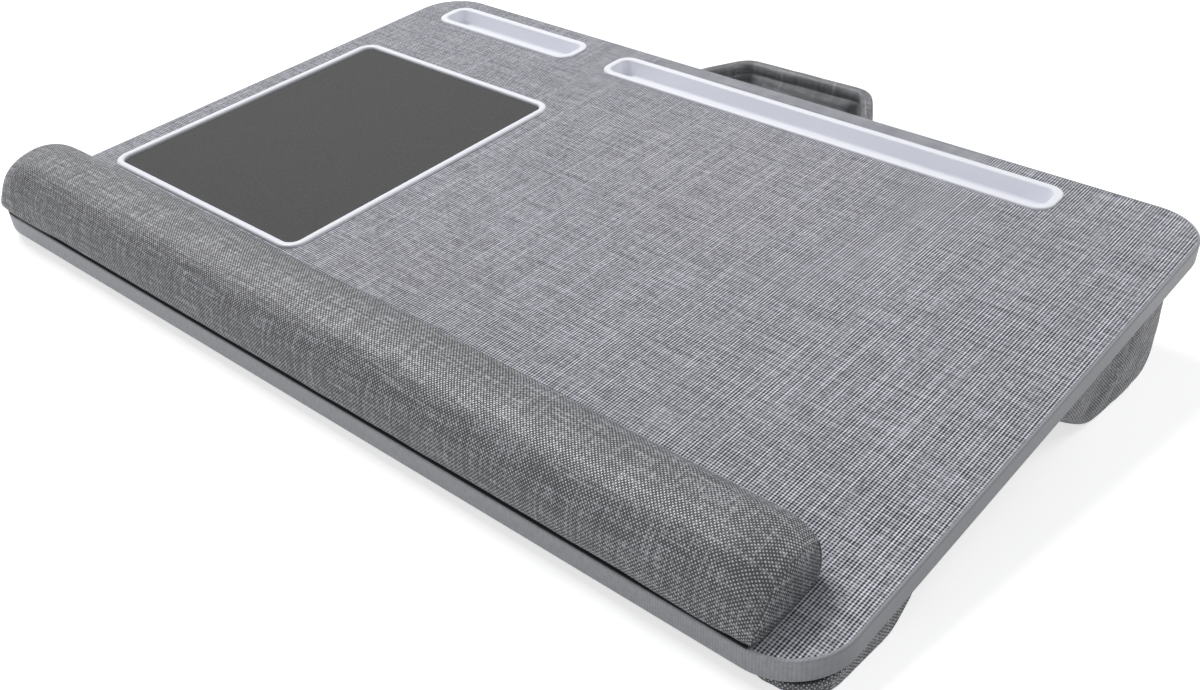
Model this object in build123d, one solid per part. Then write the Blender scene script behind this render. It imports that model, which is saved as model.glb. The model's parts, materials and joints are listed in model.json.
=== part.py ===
# Lap tray with cushion: a laminated board with a mouse pad, two slots, a wrist rest,
# a two-bolster cushion underneath and a fabric carry handle at the back.
# Millimetres. +X to the user's right, +Y to the back, +Z up. The pieces are drawn in the tray's own
# frame: x from its middle, y from its front edge, z from its top face. The last section tilts them
# onto the table and puts the origin at the middle of the bounding box, on the table.
import math
import os

from build123d import *

# Tray board
tray_width = 600.0
tray_depth = 400.0
tray_corner_radius = 32.0
tray_tilt_deg = 8.5
laminate_thickness = 0.8
core_thickness = 10.5
backing_thickness = 0.7
edge_band_thickness = 1.6
edge_band_round = 1.0

# Fits and gaps
cut_overrun = 20.0
slide_fit = 0.5
soft_clearance = 0.3
flat_cut_depth = 0.5

# Pen slot and tablet slot, moulded liners with a rim
slot_rim_width = 5.0
slot_rim_height = 1.5
slot_rim_round = 1.1
slot_rim_depth = 30.5
slot_rim_corner = 11.0
slot_wall = 1.5
slot_hollow_depth = 9.5
slot_draft_deg = 7.0
slot_floor_round = 2.4
slot_back_margin = 14.0
pen_slot_left_margin = 26.0
pen_slot_length = 134.0
slot_gap = 30.4
tablet_slot_right_margin = 78.5

# Mouse pad, a framed mat in a shallow recess
pad_left_margin = 18.0
pad_front_margin = 75.0
pad_width = 184.5
pad_slot_gap = 59.0
pad_frame_width = 4.7
pad_frame_height = 1.8
pad_frame_round = 1.5
pad_frame_corner = 11.5
pad_frame_foot_width = 3.0
pad_recess_depth = 1.0
pad_mat_fit = 0.3
pad_mat_round = 0.4

# Wrist rest, a sewn roll on a stiff strip
rest_side_margin = 28.0
rest_tape_thickness = 0.8
rest_tape_width = 12.0
rest_tape_side_inset = 6.0
rest_tape_edge_inset = 5.0
rest_cover_thickness = 1.2
rest_strip_thickness = 2.0
rest_strip_edge_inset = 4.6
rest_strip_end_inset = 5.0
rest_foot_front = 1.0
rest_foot_back = 51.0
rest_shoulder_front = -0.2
rest_shoulder_front_height = 27.0
rest_shoulder_back = 50.5
rest_shoulder_back_height = 28.6
rest_back_bulge = 2.8
rest_top_bulge = 5.6
rest_front_bulge = 0.7
rest_foot_round = 2.4
rest_back_round = 14.0
rest_front_round = 12.0
rest_end_foot_front = 3.0
rest_end_foot_back = 48.5
rest_end_ear_back = 45.5
rest_end_ear_height = 21.5
rest_end_front = 6.2
rest_end_front_height = 15.0
rest_end_back_bulge = 1.2
rest_end_top_bulge = 8.4
rest_end_front_bulge = 0.5
rest_end_ear_round = 2.0
rest_end_front_round = 6.0
rest_end_run = 30.0
rest_end_panel_bulge = 2.6

# Cushion, two bolsters under one flat panel
tape_thickness = 1.0
tape_width = 25.0
tape_length = 220.0
tape_side_offset = 150.0
panel_thickness = 1.2
panel_back_corner = 8.0
cushion_side_inset = 5.0
cushion_front_inset = 5.0
cushion_back_inset = 50.0
cushion_corner_radius = 18.0
bolster_cover_thickness = 1.3
bolster_draw_in = 5.0
bolster_end_run = 48.0
front_bolster_depth = 75.0
front_bolster_lip = 4.2
front_bolster_lip_run = 3.0
front_bolster_back_slope = 24.0
front_bolster_toe_round = 2.6
front_bolster_heel_round = 9.0
back_bolster_depth = 138.0
back_bolster_front_slope = 50.0
back_bolster_knee_round = 40.0
back_bolster_heel_round = 18.0
back_bolster_front_bulge = 2.0
bolster_crown = 1.0
back_bolster_end_bulge = 3.0

# Carry handle, a padded band on edge behind the tray
handle_reach = 54.0
handle_top_gap = 1.0
handle_band_height = 22.0
handle_band_thickness = 6.4
handle_roll_diameter = 8.8
handle_crease_drop = 7.2
handle_half_width = 47.0
handle_splay_deg = 32.5
handle_bend_radius = 13.0
handle_cover_thickness = 0.9
handle_tab_thickness = 2.4
handle_tab_length = 46.0
handle_tab_inner_run = 14.0
handle_tab_round = 3.0
handle_swing_down_deg = 20.0

# Levels and places that follow from the sizes above
board_thickness = laminate_thickness + core_thickness + backing_thickness
core_top = -laminate_thickness
core_bottom = core_top - core_thickness
board_bottom = -board_thickness
panel_top = board_bottom - 2 * tape_thickness
bolster_top = panel_top - panel_thickness
tilt = math.radians(tray_tilt_deg)
lip_y = cushion_front_inset + front_bolster_lip_run
lip_z = bolster_top - front_bolster_lip
front_edge_height = -lip_z * math.cos(tilt) - lip_y * math.sin(tilt)

slot_centre_y = tray_depth - slot_back_margin - slot_rim_depth / 2
pen_slot_x = -tray_width / 2 + pen_slot_left_margin + pen_slot_length / 2
tablet_slot_left = pen_slot_left_margin + pen_slot_length + slot_gap
tablet_slot_length = tray_width - tablet_slot_left - tablet_slot_right_margin
tablet_slot_x = -tray_width / 2 + tablet_slot_left + tablet_slot_length / 2

pad_depth = tray_depth - slot_back_margin - slot_rim_depth - pad_slot_gap - pad_front_margin
pad_x = -tray_width / 2 + pad_left_margin + pad_width / 2
pad_y = pad_front_margin + pad_depth / 2

rest_half_length = tray_width / 2 - rest_side_margin
bolster_half_length = tray_width / 2 - cushion_side_inset
cushion_back = tray_depth - cushion_back_inset
front_bolster_back = cushion_front_inset + front_bolster_depth
back_bolster_front = cushion_back - back_bolster_depth


def table_level(y):
    """Height of the table under the tray at this y, in the tray's frame."""
    return -(front_edge_height + y * math.sin(tilt)) / math.cos(tilt)


# Shared shapes


def rounded_plate(x, y, width, depth, corner, top, thickness):
    """A flat plate with rounded corners, centred on x and y, whose upper face is at top."""
    outline = Pos(x, y, top - thickness) * RectangleRounded(width, depth, corner)
    return extrude(outline, amount=thickness)


def rounded_ring(x, y, width, depth, corner, rim, top, thickness):
    """A flat ring: a rounded plate less the same plate a rim smaller all round."""
    hole_corner = max(corner - rim, slide_fit)
    hole = rounded_plate(x, y, width - 2 * rim, depth - 2 * rim, hole_corner,
                         top + cut_overrun, thickness + 2 * cut_overrun)
    return rounded_plate(x, y, width, depth, corner, top, thickness) - hole


def inset_polygon(corners, amounts):
    """Corners of a counter-clockwise polygon after each side moves inward by its own amount."""
    moved = []
    count = len(corners)
    for index in range(count):
        before = corners[index - 1]
        here = corners[index]
        after = corners[(index + 1) % count]
        side_in = Vector(here[0] - before[0], here[1] - before[1]).normalized()
        side_out = Vector(after[0] - here[0], after[1] - here[1]).normalized()
        cross = side_in.X * side_out.Y - side_in.Y * side_out.X
        shift_in = amounts[index - 1]
        shift_out = amounts[index]
        across = (side_out.X * shift_in - side_in.X * shift_out) / cross
        along = (side_out.Y * shift_in - side_in.Y * shift_out) / cross
        moved.append((here[0] + across, here[1] + along))
    return moved


def sewn_section(corners, bulges, rounds):
    """A closed section whose sides bulge outward and whose corners are rounded, where not zero."""
    sides = []
    count = len(corners)
    for index in range(count):
        start = corners[index]
        end = corners[(index + 1) % count]
        if bulges[index] == 0:
            sides.append(Line(start, end))
            continue
        length = math.hypot(end[0] - start[0], end[1] - start[1])
        outward = ((end[1] - start[1]) / length, (start[0] - end[0]) / length)
        middle = ((start[0] + end[0]) / 2 + outward[0] * bulges[index],
                  (start[1] + end[1]) / 2 + outward[1] * bulges[index])
        sides.append(ThreePointArc(start, middle, end))
    section = make_face(sides)
    for corner, radius in zip(corners, rounds):
        if radius > 0:
            nearest = section.vertices().sort_by_distance(Vector(corner[0], corner[1], 0))[0]
            section = fillet(nearest, radius)
    return section


def across_tray(section, x):
    """Stands a y-z section up across the tray at this x."""
    return Plane(origin=(x, 0, 0), x_dir=(0, 1, 0), z_dir=(1, 0, 0)) * section


def mix(first, second, share):
    """A value, point or list of them, between the first at share 0 and the second at share 1."""
    if isinstance(first, (list, tuple)):
        return [mix(a, b, share) for a, b in zip(first, second)]
    return first + (second - first) * share


def mirrored_roll(section_at, half_length, end_run, stations):
    """A long soft body: straight in the middle, with both ends drawn in along end_run.

    section_at gives the section at a station's share, and stations pairs a share of the end run,
    counted from the straight part, with how far the section has changed there."""
    straight = half_length - end_run
    body = extrude(across_tray(section_at(0), -straight), amount=2 * straight)
    for side in (-1, 1):
        faces = [across_tray(section_at(change), side * (straight + run * end_run))
                 for run, change in stations]
        body += loft(faces)
    return body


# Tray board: core, laminate, backing and edge band

slot_mouth_depth = slot_rim_depth - 2 * slot_rim_width
slot_mouth_corner = slot_rim_corner - slot_rim_width
slot_hole_corner = slot_mouth_corner + slot_wall + slide_fit
pad_recess_inset = pad_frame_width - pad_frame_foot_width
pad_recess_corner = pad_frame_corner - pad_recess_inset


def slot_hole(x, rim_length):
    """The cut through the board that one slot liner drops into."""
    length = rim_length - 2 * (slot_rim_width - slot_wall - slide_fit)
    depth = slot_rim_depth - 2 * (slot_rim_width - slot_wall - slide_fit)
    return rounded_plate(x, slot_centre_y, length, depth, slot_hole_corner,
                         cut_overrun, core_thickness + laminate_thickness + cut_overrun)


def slot_holes():
    """Both cuts for the slot liners, down to the backing sheet."""
    return slot_hole(pen_slot_x, pen_slot_length) + slot_hole(tablet_slot_x, tablet_slot_length)


def pad_recess():
    """The shallow pocket that holds the mat and the foot of its frame."""
    return rounded_plate(pad_x, pad_y, pad_width - 2 * pad_recess_inset, pad_depth - 2 * pad_recess_inset,
                         pad_recess_corner, cut_overrun,
                         cut_overrun + laminate_thickness + pad_recess_depth)


def board_layer(top, thickness):
    """One layer of the board inside its edge band."""
    return rounded_plate(0, tray_depth / 2, tray_width - 2 * edge_band_thickness,
                         tray_depth - 2 * edge_band_thickness,
                         tray_corner_radius - edge_band_thickness, top, thickness)


def make_board_core():
    """Fibreboard core with the two slot cuts and the mouse pad pocket."""
    return board_layer(core_top, core_thickness) - slot_holes() - pad_recess()


def make_top_laminate():
    """Woven-look laminate on top, cut out with the core."""
    return board_layer(0, laminate_thickness) - slot_holes() - pad_recess()


def make_backing_sheet():
    """Plain balancing sheet under the core, which also closes the slot cuts."""
    return board_layer(core_bottom, backing_thickness)


def make_edge_band():
    """Plastic band round the board with eased outer edges."""
    band = rounded_ring(0, tray_depth / 2, tray_width, tray_depth, tray_corner_radius,
                        edge_band_thickness, 0, board_thickness)
    outer_edges = [edge for level in (band.faces().sort_by(Axis.Z)[0], band.faces().sort_by(Axis.Z)[-1])
                   for edge in level.outer_wire().edges()]
    return fillet(outer_edges, edge_band_round)


# Slots: a moulded trough with a rim that sits on the laminate


def make_slot_liner(x, rim_length):
    """One slot liner: drafted trough, rounded floor and a rounded rim."""
    rim = rounded_plate(x, slot_centre_y, rim_length, slot_rim_depth, slot_rim_corner,
                        slot_rim_height, slot_rim_height)
    mouth_length = rim_length - 2 * slot_rim_width
    floor_thickness = slot_wall
    trough_depth = slot_hollow_depth + floor_thickness
    trough_outline = RectangleRounded(mouth_length + 2 * slot_wall, slot_mouth_depth + 2 * slot_wall,
                                      slot_mouth_corner + slot_wall)
    trough = extrude(Pos(x, slot_centre_y, 0) * trough_outline, amount=-trough_depth,
                     taper=slot_draft_deg)
    mouth_outline = RectangleRounded(mouth_length, slot_mouth_depth, slot_mouth_corner)
    hollow_height = slot_hollow_depth + slot_rim_height
    hollow = extrude(Pos(x, slot_centre_y, slot_rim_height) * mouth_outline, amount=-hollow_height,
                     taper=slot_draft_deg)
    hollow_floor = hollow.faces().sort_by(Axis.Z)[0]
    hollow = fillet(hollow_floor.edges(), slot_floor_round)
    liner = rim + trough - hollow
    rim_face = liner.faces().sort_by(Axis.Z)[-1]
    return fillet(rim_face.edges(), slot_rim_round)


# Mouse pad: a rounded frame and the mat inside it


def make_pad_frame():
    """Frame with a rounded cap over the laminate and a foot down in the pocket."""
    cap = rounded_ring(pad_x, pad_y, pad_width, pad_depth, pad_frame_corner,
                       pad_frame_width, pad_frame_height, pad_frame_height)
    foot_height = laminate_thickness + pad_recess_depth
    foot = rounded_ring(pad_x, pad_y, pad_width - 2 * pad_recess_inset, pad_depth - 2 * pad_recess_inset,
                        pad_recess_corner, pad_frame_foot_width, 0, foot_height)
    frame = cap + foot
    return fillet(frame.faces().sort_by(Axis.Z)[-1].edges(), pad_frame_round)


def make_pad_mat():
    """Mat that lies on the pocket's floor, level with the laminate."""
    inset = pad_frame_width + pad_mat_fit
    mat = rounded_plate(pad_x, pad_y, pad_width - 2 * inset, pad_depth - 2 * inset,
                        pad_frame_corner - inset, 0, laminate_thickness + pad_recess_depth)
    return fillet(mat.faces().sort_by(Axis.Z)[-1].edges(), pad_mat_round)


# Wrist rest: tape, stiff strip, foam, wrapped cover and two sewn end panels

# How far the roll has gone towards its end seam, at shares of its drawn-in end run
rest_station_shares = ((0.0, 0.0), (0.2, 0.01), (0.55, 0.15), (0.84, 0.5), (1.0, 1.0))
# Bulge stations of a sewn end panel: shares of its bulge, and of its inset
end_panel_station_shares = ((0.0, 0.0), (0.45, 0.16), (0.85, 0.5), (1.0, 1.0))

rest_bottom = rest_tape_thickness
rest_full_corners = [(rest_foot_front, rest_bottom), (rest_foot_back, rest_bottom),
                     (rest_shoulder_back, rest_shoulder_back_height),
                     (rest_shoulder_front, rest_shoulder_front_height)]
rest_full_bulges = [0, rest_back_bulge, rest_top_bulge, rest_front_bulge]
rest_full_rounds = [rest_foot_round, rest_foot_round, rest_back_round, rest_front_round]
rest_seam_corners = [(rest_end_foot_front, rest_bottom), (rest_end_foot_back, rest_bottom),
                     (rest_end_ear_back, rest_end_ear_height),
                     (rest_end_front, rest_end_front_height)]
rest_seam_bulges = [0, rest_end_back_bulge, rest_end_top_bulge, rest_end_front_bulge]
rest_seam_rounds = [rest_foot_round, rest_foot_round, rest_end_ear_round, rest_end_front_round]


def rest_section(change, inset):
    """The roll's section, from full at change 0 to its end seam at change 1, inset all round."""
    corners = inset_polygon(mix(rest_full_corners, rest_seam_corners, change), [inset] * 4)
    bulges = mix(rest_full_bulges, rest_seam_bulges, change)
    rounds = [max(radius - inset, soft_clearance)
              for radius in mix(rest_full_rounds, rest_seam_rounds, change)]
    return sewn_section(corners, bulges, rounds)


def rest_body(inset, end_gap):
    """The whole roll, inset all round and shorter by end_gap at each end."""
    return mirrored_roll(lambda change: rest_section(change, inset),
                         rest_half_length - end_gap, rest_end_run, rest_station_shares)


def make_rest_tape():
    """Two strips of double-sided tape that hold the wrist rest down."""
    length = 2 * (rest_half_length - rest_tape_side_inset)
    front_y = rest_foot_front + rest_tape_edge_inset + rest_tape_width / 2
    back_y = rest_foot_back - rest_tape_edge_inset - rest_tape_width / 2
    strips = [Pos(0, y, rest_tape_thickness / 2) * Box(length, rest_tape_width, rest_tape_thickness)
              for y in (front_y, back_y)]
    return Compound(children=strips)


def make_rest_strip():
    """Stiff strip inside the cover's foot."""
    bottom = rest_bottom + rest_cover_thickness
    front = rest_end_foot_front + rest_strip_edge_inset
    back = rest_end_foot_back - rest_strip_edge_inset
    length = 2 * (rest_half_length - rest_strip_end_inset)
    return (Pos(0, (front + back) / 2, bottom + rest_strip_thickness / 2)
            * Box(length, back - front, rest_strip_thickness))


def make_rest_foam():
    """Foam roll inside the cover, flat on the stiff strip."""
    strip_top = rest_bottom + rest_cover_thickness + rest_strip_thickness
    foam = rest_body(rest_cover_thickness + soft_clearance, soft_clearance)
    below = (Pos(0, tray_depth / 2, strip_top - cut_overrun / 2)
             * Box(tray_width, 2 * tray_depth, cut_overrun))
    return foam - below


def make_rest_cover():
    """Fabric wrapped round the foam and strip, open where the end panels are sewn in."""
    return rest_body(0, 0) - rest_body(rest_cover_thickness, 0)


def sewn_end_panel(section_at, x, side, bulge, inset):
    """A sewn end panel that swells outward from its seam at x, to side -1 or 1."""
    faces = [across_tray(section_at(narrow * inset), side * (x + out * bulge))
             for out, narrow in end_panel_station_shares]
    return loft(faces)


def make_rest_end(side):
    """End panel of the wrist rest."""
    inset = rest_end_ear_height / 3
    return sewn_end_panel(lambda amount: rest_section(1, amount), rest_half_length, side,
                          rest_end_panel_bulge, inset)


# Cushion: tapes, top panel, two bolsters with their fillings

# How far a bolster has drawn in, at shares of its end run
bolster_station_shares = ((0.0, 0.0), (0.3, 0.03), (0.7, 0.35), (0.9, 0.72), (1.0, 1.0))


def tape_strips(top):
    """Four strips of closure tape in two rows, with their upper face at this level."""
    rows = (cushion_front_inset + front_bolster_depth / 2, cushion_back - back_bolster_depth / 2)
    strips = [Pos(side * tape_side_offset, y, top - tape_thickness / 2)
              * Box(tape_length, tape_width, tape_thickness)
              for y in rows for side in (-1, 1)]
    return Compound(children=strips)


def cushion_outline(inset):
    """Plan of the cushion: large corners in front, under the tray's own, and small ones behind."""
    half = bolster_half_length - inset
    front = cushion_front_inset + inset
    back = cushion_back - inset
    outline = make_face(Polyline((-half, front), (half, front), (half, back), (-half, back), close=True))
    corners = outline.vertices().sort_by(Axis.Y)
    outline = fillet(corners[:2], cushion_corner_radius - inset)
    corners = outline.vertices().sort_by(Axis.Y)
    return fillet(corners[-2:], panel_back_corner - inset)


def make_top_panel():
    """Flat fabric panel that joins the bolsters and carries the loop tape."""
    return extrude(Pos(0, 0, bolster_top) * cushion_outline(0), amount=panel_thickness)


def bolster_section(corners, bulges, rounds, draw_in, skin):
    """A bolster's section: front, foot and back drawn in, the top kept on the panel."""
    amounts = [draw_in + skin, draw_in / 4 + skin, draw_in / 2 + skin, 0]
    moved = inset_polygon(corners, amounts)
    smaller = [max(radius - skin, soft_clearance) if radius > 0 else 0 for radius in rounds]
    return sewn_section(moved, bulges, smaller)


foot_rise = bolster_crown - flat_cut_depth
front_heel_y = front_bolster_back - front_bolster_back_slope
front_corners = [(cushion_front_inset, bolster_top),
                 (lip_y, table_level(lip_y) + foot_rise),
                 (front_heel_y, table_level(front_heel_y) + foot_rise),
                 (front_bolster_back, bolster_top)]
front_bulges = [0, bolster_crown, bolster_crown, 0]
front_rounds = [0, front_bolster_toe_round, front_bolster_heel_round, 0]
back_knee_y = back_bolster_front + back_bolster_front_slope
back_corners = [(back_bolster_front, bolster_top),
                (back_knee_y, table_level(back_knee_y) + foot_rise),
                (cushion_back, table_level(cushion_back) + foot_rise),
                (cushion_back, bolster_top)]
back_bulges = [back_bolster_front_bulge, bolster_crown, 0, 0]
back_rounds = [0, back_bolster_knee_round, back_bolster_heel_round, 0]


def above_table(body):
    """The body cut flat where it stands on the table."""
    length = tray_width + tray_depth
    block = Pos(0, 0, -length / 2) * Box(2 * length, 2 * length, length)
    table = Pos(0, 0, -front_edge_height / math.cos(tilt)) * Rot(-tray_tilt_deg, 0, 0) * block
    return body - table


def front_bolster_body(skin, end_gap):
    """Front bolster inside its cover's skin, rounded in plan under the tray's front corners."""
    body = mirrored_roll(
        lambda change: bolster_section(front_corners, front_bulges, front_rounds,
                                       change * bolster_draw_in / 2, skin),
        bolster_half_length - end_gap, bolster_end_run, bolster_station_shares)
    plan = extrude(Pos(0, 0, bolster_top - cut_overrun) * cushion_outline(end_gap),
                   amount=2 * cut_overrun)
    return body & plan


def back_bolster_body(skin, end_gap):
    """Back bolster inside its cover's skin."""
    return mirrored_roll(
        lambda change: bolster_section(back_corners, back_bulges, back_rounds,
                                       change * bolster_draw_in, skin),
        bolster_half_length - end_gap, bolster_end_run, bolster_station_shares)


def make_front_bolster_cover():
    """Fabric of the front bolster, closed at its ends and open to the top panel."""
    outer = front_bolster_body(0, 0)
    inner = front_bolster_body(bolster_cover_thickness, bolster_cover_thickness)
    return above_table(outer) - inner


def make_front_bolster_filling():
    """Bead filling of the front bolster."""
    return front_bolster_body(bolster_cover_thickness + soft_clearance,
                              bolster_cover_thickness + soft_clearance)


def make_back_bolster_cover():
    """Fabric of the back bolster, open where the end panels are sewn in."""
    return above_table(back_bolster_body(0, 0)) - back_bolster_body(bolster_cover_thickness, 0)


def make_back_bolster_filling():
    """Bead filling of the back bolster."""
    return back_bolster_body(bolster_cover_thickness + soft_clearance, soft_clearance)


def make_back_bolster_end(side):
    """End panel of the back bolster, sewn in and swollen outward."""
    def section_at(amount):
        corners = inset_polygon(back_corners, [bolster_draw_in + amount, bolster_draw_in / 4 + amount,
                                               bolster_draw_in / 2 + amount, amount])
        rounds = [0, back_bolster_knee_round, max(back_bolster_heel_round - amount, soft_clearance), 0]
        return sewn_section(corners, back_bulges, rounds)

    inset = back_bolster_heel_round / 2
    return above_table(sewn_end_panel(section_at, bolster_half_length, side,
                                      back_bolster_end_bulge, inset))


# Carry handle: padded band on edge with a rolled upper edge, and the tabs that hold its ends

# Corner radius of the band, as a share of half its thickness
handle_band_round_share = 0.9
handle_top = board_bottom - handle_top_gap
handle_roll_radius = handle_roll_diameter / 2
handle_roll_z = handle_top - handle_roll_radius
handle_band_top = handle_top - handle_crease_drop
handle_band_z = handle_band_top - handle_band_height / 2
handle_far_y = tray_depth + handle_reach - handle_roll_radius
handle_root_y = cushion_back + handle_tab_thickness + soft_clearance
handle_root_x = handle_half_width + (handle_far_y - handle_root_y) * math.tan(math.radians(handle_splay_deg))


def handle_sweep(section):
    """Sweeps a section along the handle's route, which is drawn at the band's middle height."""
    lead = cut_overrun
    lead_x = handle_root_x + lead * math.tan(math.radians(handle_splay_deg))
    lead_y = handle_root_y - lead
    route = FilletPolyline((-lead_x, lead_y, 0), (-handle_half_width, handle_far_y, 0),
                           (handle_half_width, handle_far_y, 0), (lead_x, lead_y, 0),
                           radius=handle_bend_radius)
    start = Plane(origin=route @ 0, x_dir=(0, 0, 1), z_dir=route % 0)
    body = sweep(start * section, path=route)
    trim_length = handle_root_x * 4
    trim = (Pos(0, handle_root_y - trim_length / 2, 0)
            * Box(trim_length, trim_length, trim_length))
    return body - trim


def handle_outline(inset):
    """Section of the strap: a flat band below a rolled edge, with a crease between them."""
    band = (Pos(handle_band_z, 0)
            * RectangleRounded(handle_band_height - 2 * inset, handle_band_thickness - 2 * inset,
                               (handle_band_thickness / 2 - inset) * handle_band_round_share))
    roll = Pos(handle_roll_z, 0) * Circle(handle_roll_radius - inset)
    return band, roll


def make_handle_cover():
    """Fabric of the strap, sewn through at the crease so that the roll and the band are two tubes."""
    band, roll = handle_outline(0)
    inner_band, inner_roll = handle_outline(handle_cover_thickness)
    band_cut = inner_band - Pos(handle_roll_z, 0) * Circle(handle_roll_radius)
    return handle_sweep(band + roll) - handle_sweep(band_cut) - handle_sweep(inner_roll)


def make_handle_pad():
    """Foam strip inside the band."""
    inner_band, _ = handle_outline(handle_cover_thickness + soft_clearance)
    keep_clear = Pos(handle_roll_z, 0) * Circle(handle_roll_radius + soft_clearance)
    return handle_sweep(inner_band - keep_clear)


def make_handle_cord():
    """Filler cord inside the rolled edge."""
    _, inner_roll = handle_outline(handle_cover_thickness + soft_clearance)
    return handle_sweep(inner_roll)


def make_handle_tab(side):
    """Folded tab sewn flat on the back bolster, which holds one end of the strap."""
    height = handle_top - (handle_band_top - handle_band_height)
    inner = handle_root_x - handle_tab_inner_run
    outer = inner + handle_tab_length
    face = RectangleRounded(outer - inner, height, handle_tab_round)
    standing = Plane(origin=(side * (inner + outer) / 2, cushion_back, handle_top - height / 2),
                     x_dir=(1, 0, 0), z_dir=(0, -1, 0)) * face
    return extrude(standing, amount=-handle_tab_thickness)


# Build every piece, tilt the tray onto the table and write one file for each node

pieces = {
    "board_core": make_board_core(),
    "top_laminate": make_top_laminate(),
    "backing_sheet": make_backing_sheet(),
    "edge_band": make_edge_band(),
    "pen_slot_liner": make_slot_liner(pen_slot_x, pen_slot_length),
    "tablet_slot_liner": make_slot_liner(tablet_slot_x, tablet_slot_length),
    "mouse_pad_frame": make_pad_frame(),
    "mouse_pad_mat": make_pad_mat(),
    "wrist_rest_tape": make_rest_tape(),
    "wrist_rest_strip": make_rest_strip(),
    "wrist_rest_foam": make_rest_foam(),
    "wrist_rest_cover": make_rest_cover(),
    "wrist_rest_end_left": make_rest_end(-1),
    "wrist_rest_end_right": make_rest_end(1),
    "hook_tape": tape_strips(board_bottom),
    "loop_tape": tape_strips(board_bottom - tape_thickness),
    "cushion_top_panel": make_top_panel(),
    "front_bolster_cover": make_front_bolster_cover(),
    "front_bolster_filling": make_front_bolster_filling(),
    "back_bolster_cover": make_back_bolster_cover(),
    "back_bolster_filling": make_back_bolster_filling(),
    "back_bolster_end_left": make_back_bolster_end(-1),
    "back_bolster_end_right": make_back_bolster_end(1),
    "handle_tab_left": make_handle_tab(-1),
    "handle_tab_right": make_handle_tab(1),
    "handle_cover": make_handle_cover(),
    "handle_pad": make_handle_pad(),
    "handle_cord": make_handle_cord(),
}

tilted = {name: Pos(0, 0, front_edge_height) * Rot(tray_tilt_deg, 0, 0) * piece
          for name, piece in pieces.items()}
boxes = [piece.bounding_box() for piece in tilted.values()]
middle_y = (min(box.min.Y for box in boxes) + max(box.max.Y for box in boxes)) / 2

os.makedirs("parts", exist_ok=True)
for name, piece in tilted.items():
    export_step(Pos(0, -middle_y, 0) * piece, f"parts/{name}.step")


def on_table(x, y, z):
    """A point of the tray's frame, as it lies after the tilt and the move to the origin."""
    return (x, y * math.cos(tilt) - z * math.sin(tilt) - middle_y,
            y * math.sin(tilt) + z * math.cos(tilt) + front_edge_height)


def show(label, point):
    """Prints a place in metres, for the record."""
    print(label, tuple(round(value / 1000, 5) for value in point))


show("tray origin", on_table(0, 0, 0))
show("handle hinge", on_table(0, handle_root_y, handle_band_top - handle_band_height))
show("laptop area", on_table(tablet_slot_x, pad_y, 0))
show("front foot", on_table(0, lip_y * 4, table_level(lip_y * 4)))
show("back foot", on_table(0, cushion_back - back_bolster_depth / 3,
                           table_level(cushion_back - back_bolster_depth / 3)))
print("overall", [round(max(getattr(box.max, axis) for box in boxes)
                        - min(getattr(box.min, axis) for box in boxes), 2) for axis in "XYZ"])
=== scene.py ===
# Lap tray with cushion: a laminated board with a mouse pad and two slots, a sewn wrist rest along its
# front edge, a cushion of two bolsters under it and a padded fabric handle behind.
# Metres. Each piece is drawn level, in the tray's own axes, and then tilted as the tray stands.
import json
import math

import bmesh
import bpy
from mathutils import Matrix, Vector, noise


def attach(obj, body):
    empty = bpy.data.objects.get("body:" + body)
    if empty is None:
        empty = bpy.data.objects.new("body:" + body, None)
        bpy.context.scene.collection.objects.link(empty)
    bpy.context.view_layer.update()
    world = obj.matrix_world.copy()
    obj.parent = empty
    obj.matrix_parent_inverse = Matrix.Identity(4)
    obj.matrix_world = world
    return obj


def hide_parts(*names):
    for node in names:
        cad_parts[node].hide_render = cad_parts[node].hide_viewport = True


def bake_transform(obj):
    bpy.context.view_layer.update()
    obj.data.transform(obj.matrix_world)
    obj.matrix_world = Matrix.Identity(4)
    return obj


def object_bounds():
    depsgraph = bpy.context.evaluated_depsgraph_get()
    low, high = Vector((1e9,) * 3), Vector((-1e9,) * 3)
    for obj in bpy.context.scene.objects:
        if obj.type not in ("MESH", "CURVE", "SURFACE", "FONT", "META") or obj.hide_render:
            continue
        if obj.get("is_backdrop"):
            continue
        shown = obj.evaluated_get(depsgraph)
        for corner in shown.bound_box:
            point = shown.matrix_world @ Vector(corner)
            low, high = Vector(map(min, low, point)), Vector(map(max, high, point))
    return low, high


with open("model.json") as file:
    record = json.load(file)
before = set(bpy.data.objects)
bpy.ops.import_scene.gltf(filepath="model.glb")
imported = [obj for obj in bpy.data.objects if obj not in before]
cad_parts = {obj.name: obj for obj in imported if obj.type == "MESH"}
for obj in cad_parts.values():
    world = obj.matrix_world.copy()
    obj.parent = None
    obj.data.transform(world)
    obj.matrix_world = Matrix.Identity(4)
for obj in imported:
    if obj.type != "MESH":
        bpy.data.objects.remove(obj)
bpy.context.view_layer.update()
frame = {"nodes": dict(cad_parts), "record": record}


# Camera: where the photograph was taken from, in front of the tray's right corner and above it.
# The place and turn were solved from the tray's straight edges.
scene = bpy.context.scene
scene.view_settings.view_transform = "Standard"

camera_data = bpy.data.cameras.new("camera")
camera_data.sensor_width = 36.0
camera_data.lens = 38.83
camera_data.clip_start = 0.02
camera = bpy.data.objects.new("camera", camera_data)
camera.location = (0.4537, -0.54585, 0.35823)
camera.rotation_euler = [math.radians(angle) for angle in (59.901, -2.562, 40.678)]
scene.collection.objects.link(camera)
scene.camera = camera


def linear(hex_colour):
    """A colour as it looks, written as sRGB hex, in the linear values that a shader takes."""
    values = []
    for start in (1, 3, 5):
        share = int(hex_colour[start:start + 2], 16) / 255
        values.append(share / 12.92 if share <= 0.04045 else ((share + 0.055) / 1.055) ** 2.4)
    return (*values, 1.0)


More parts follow.
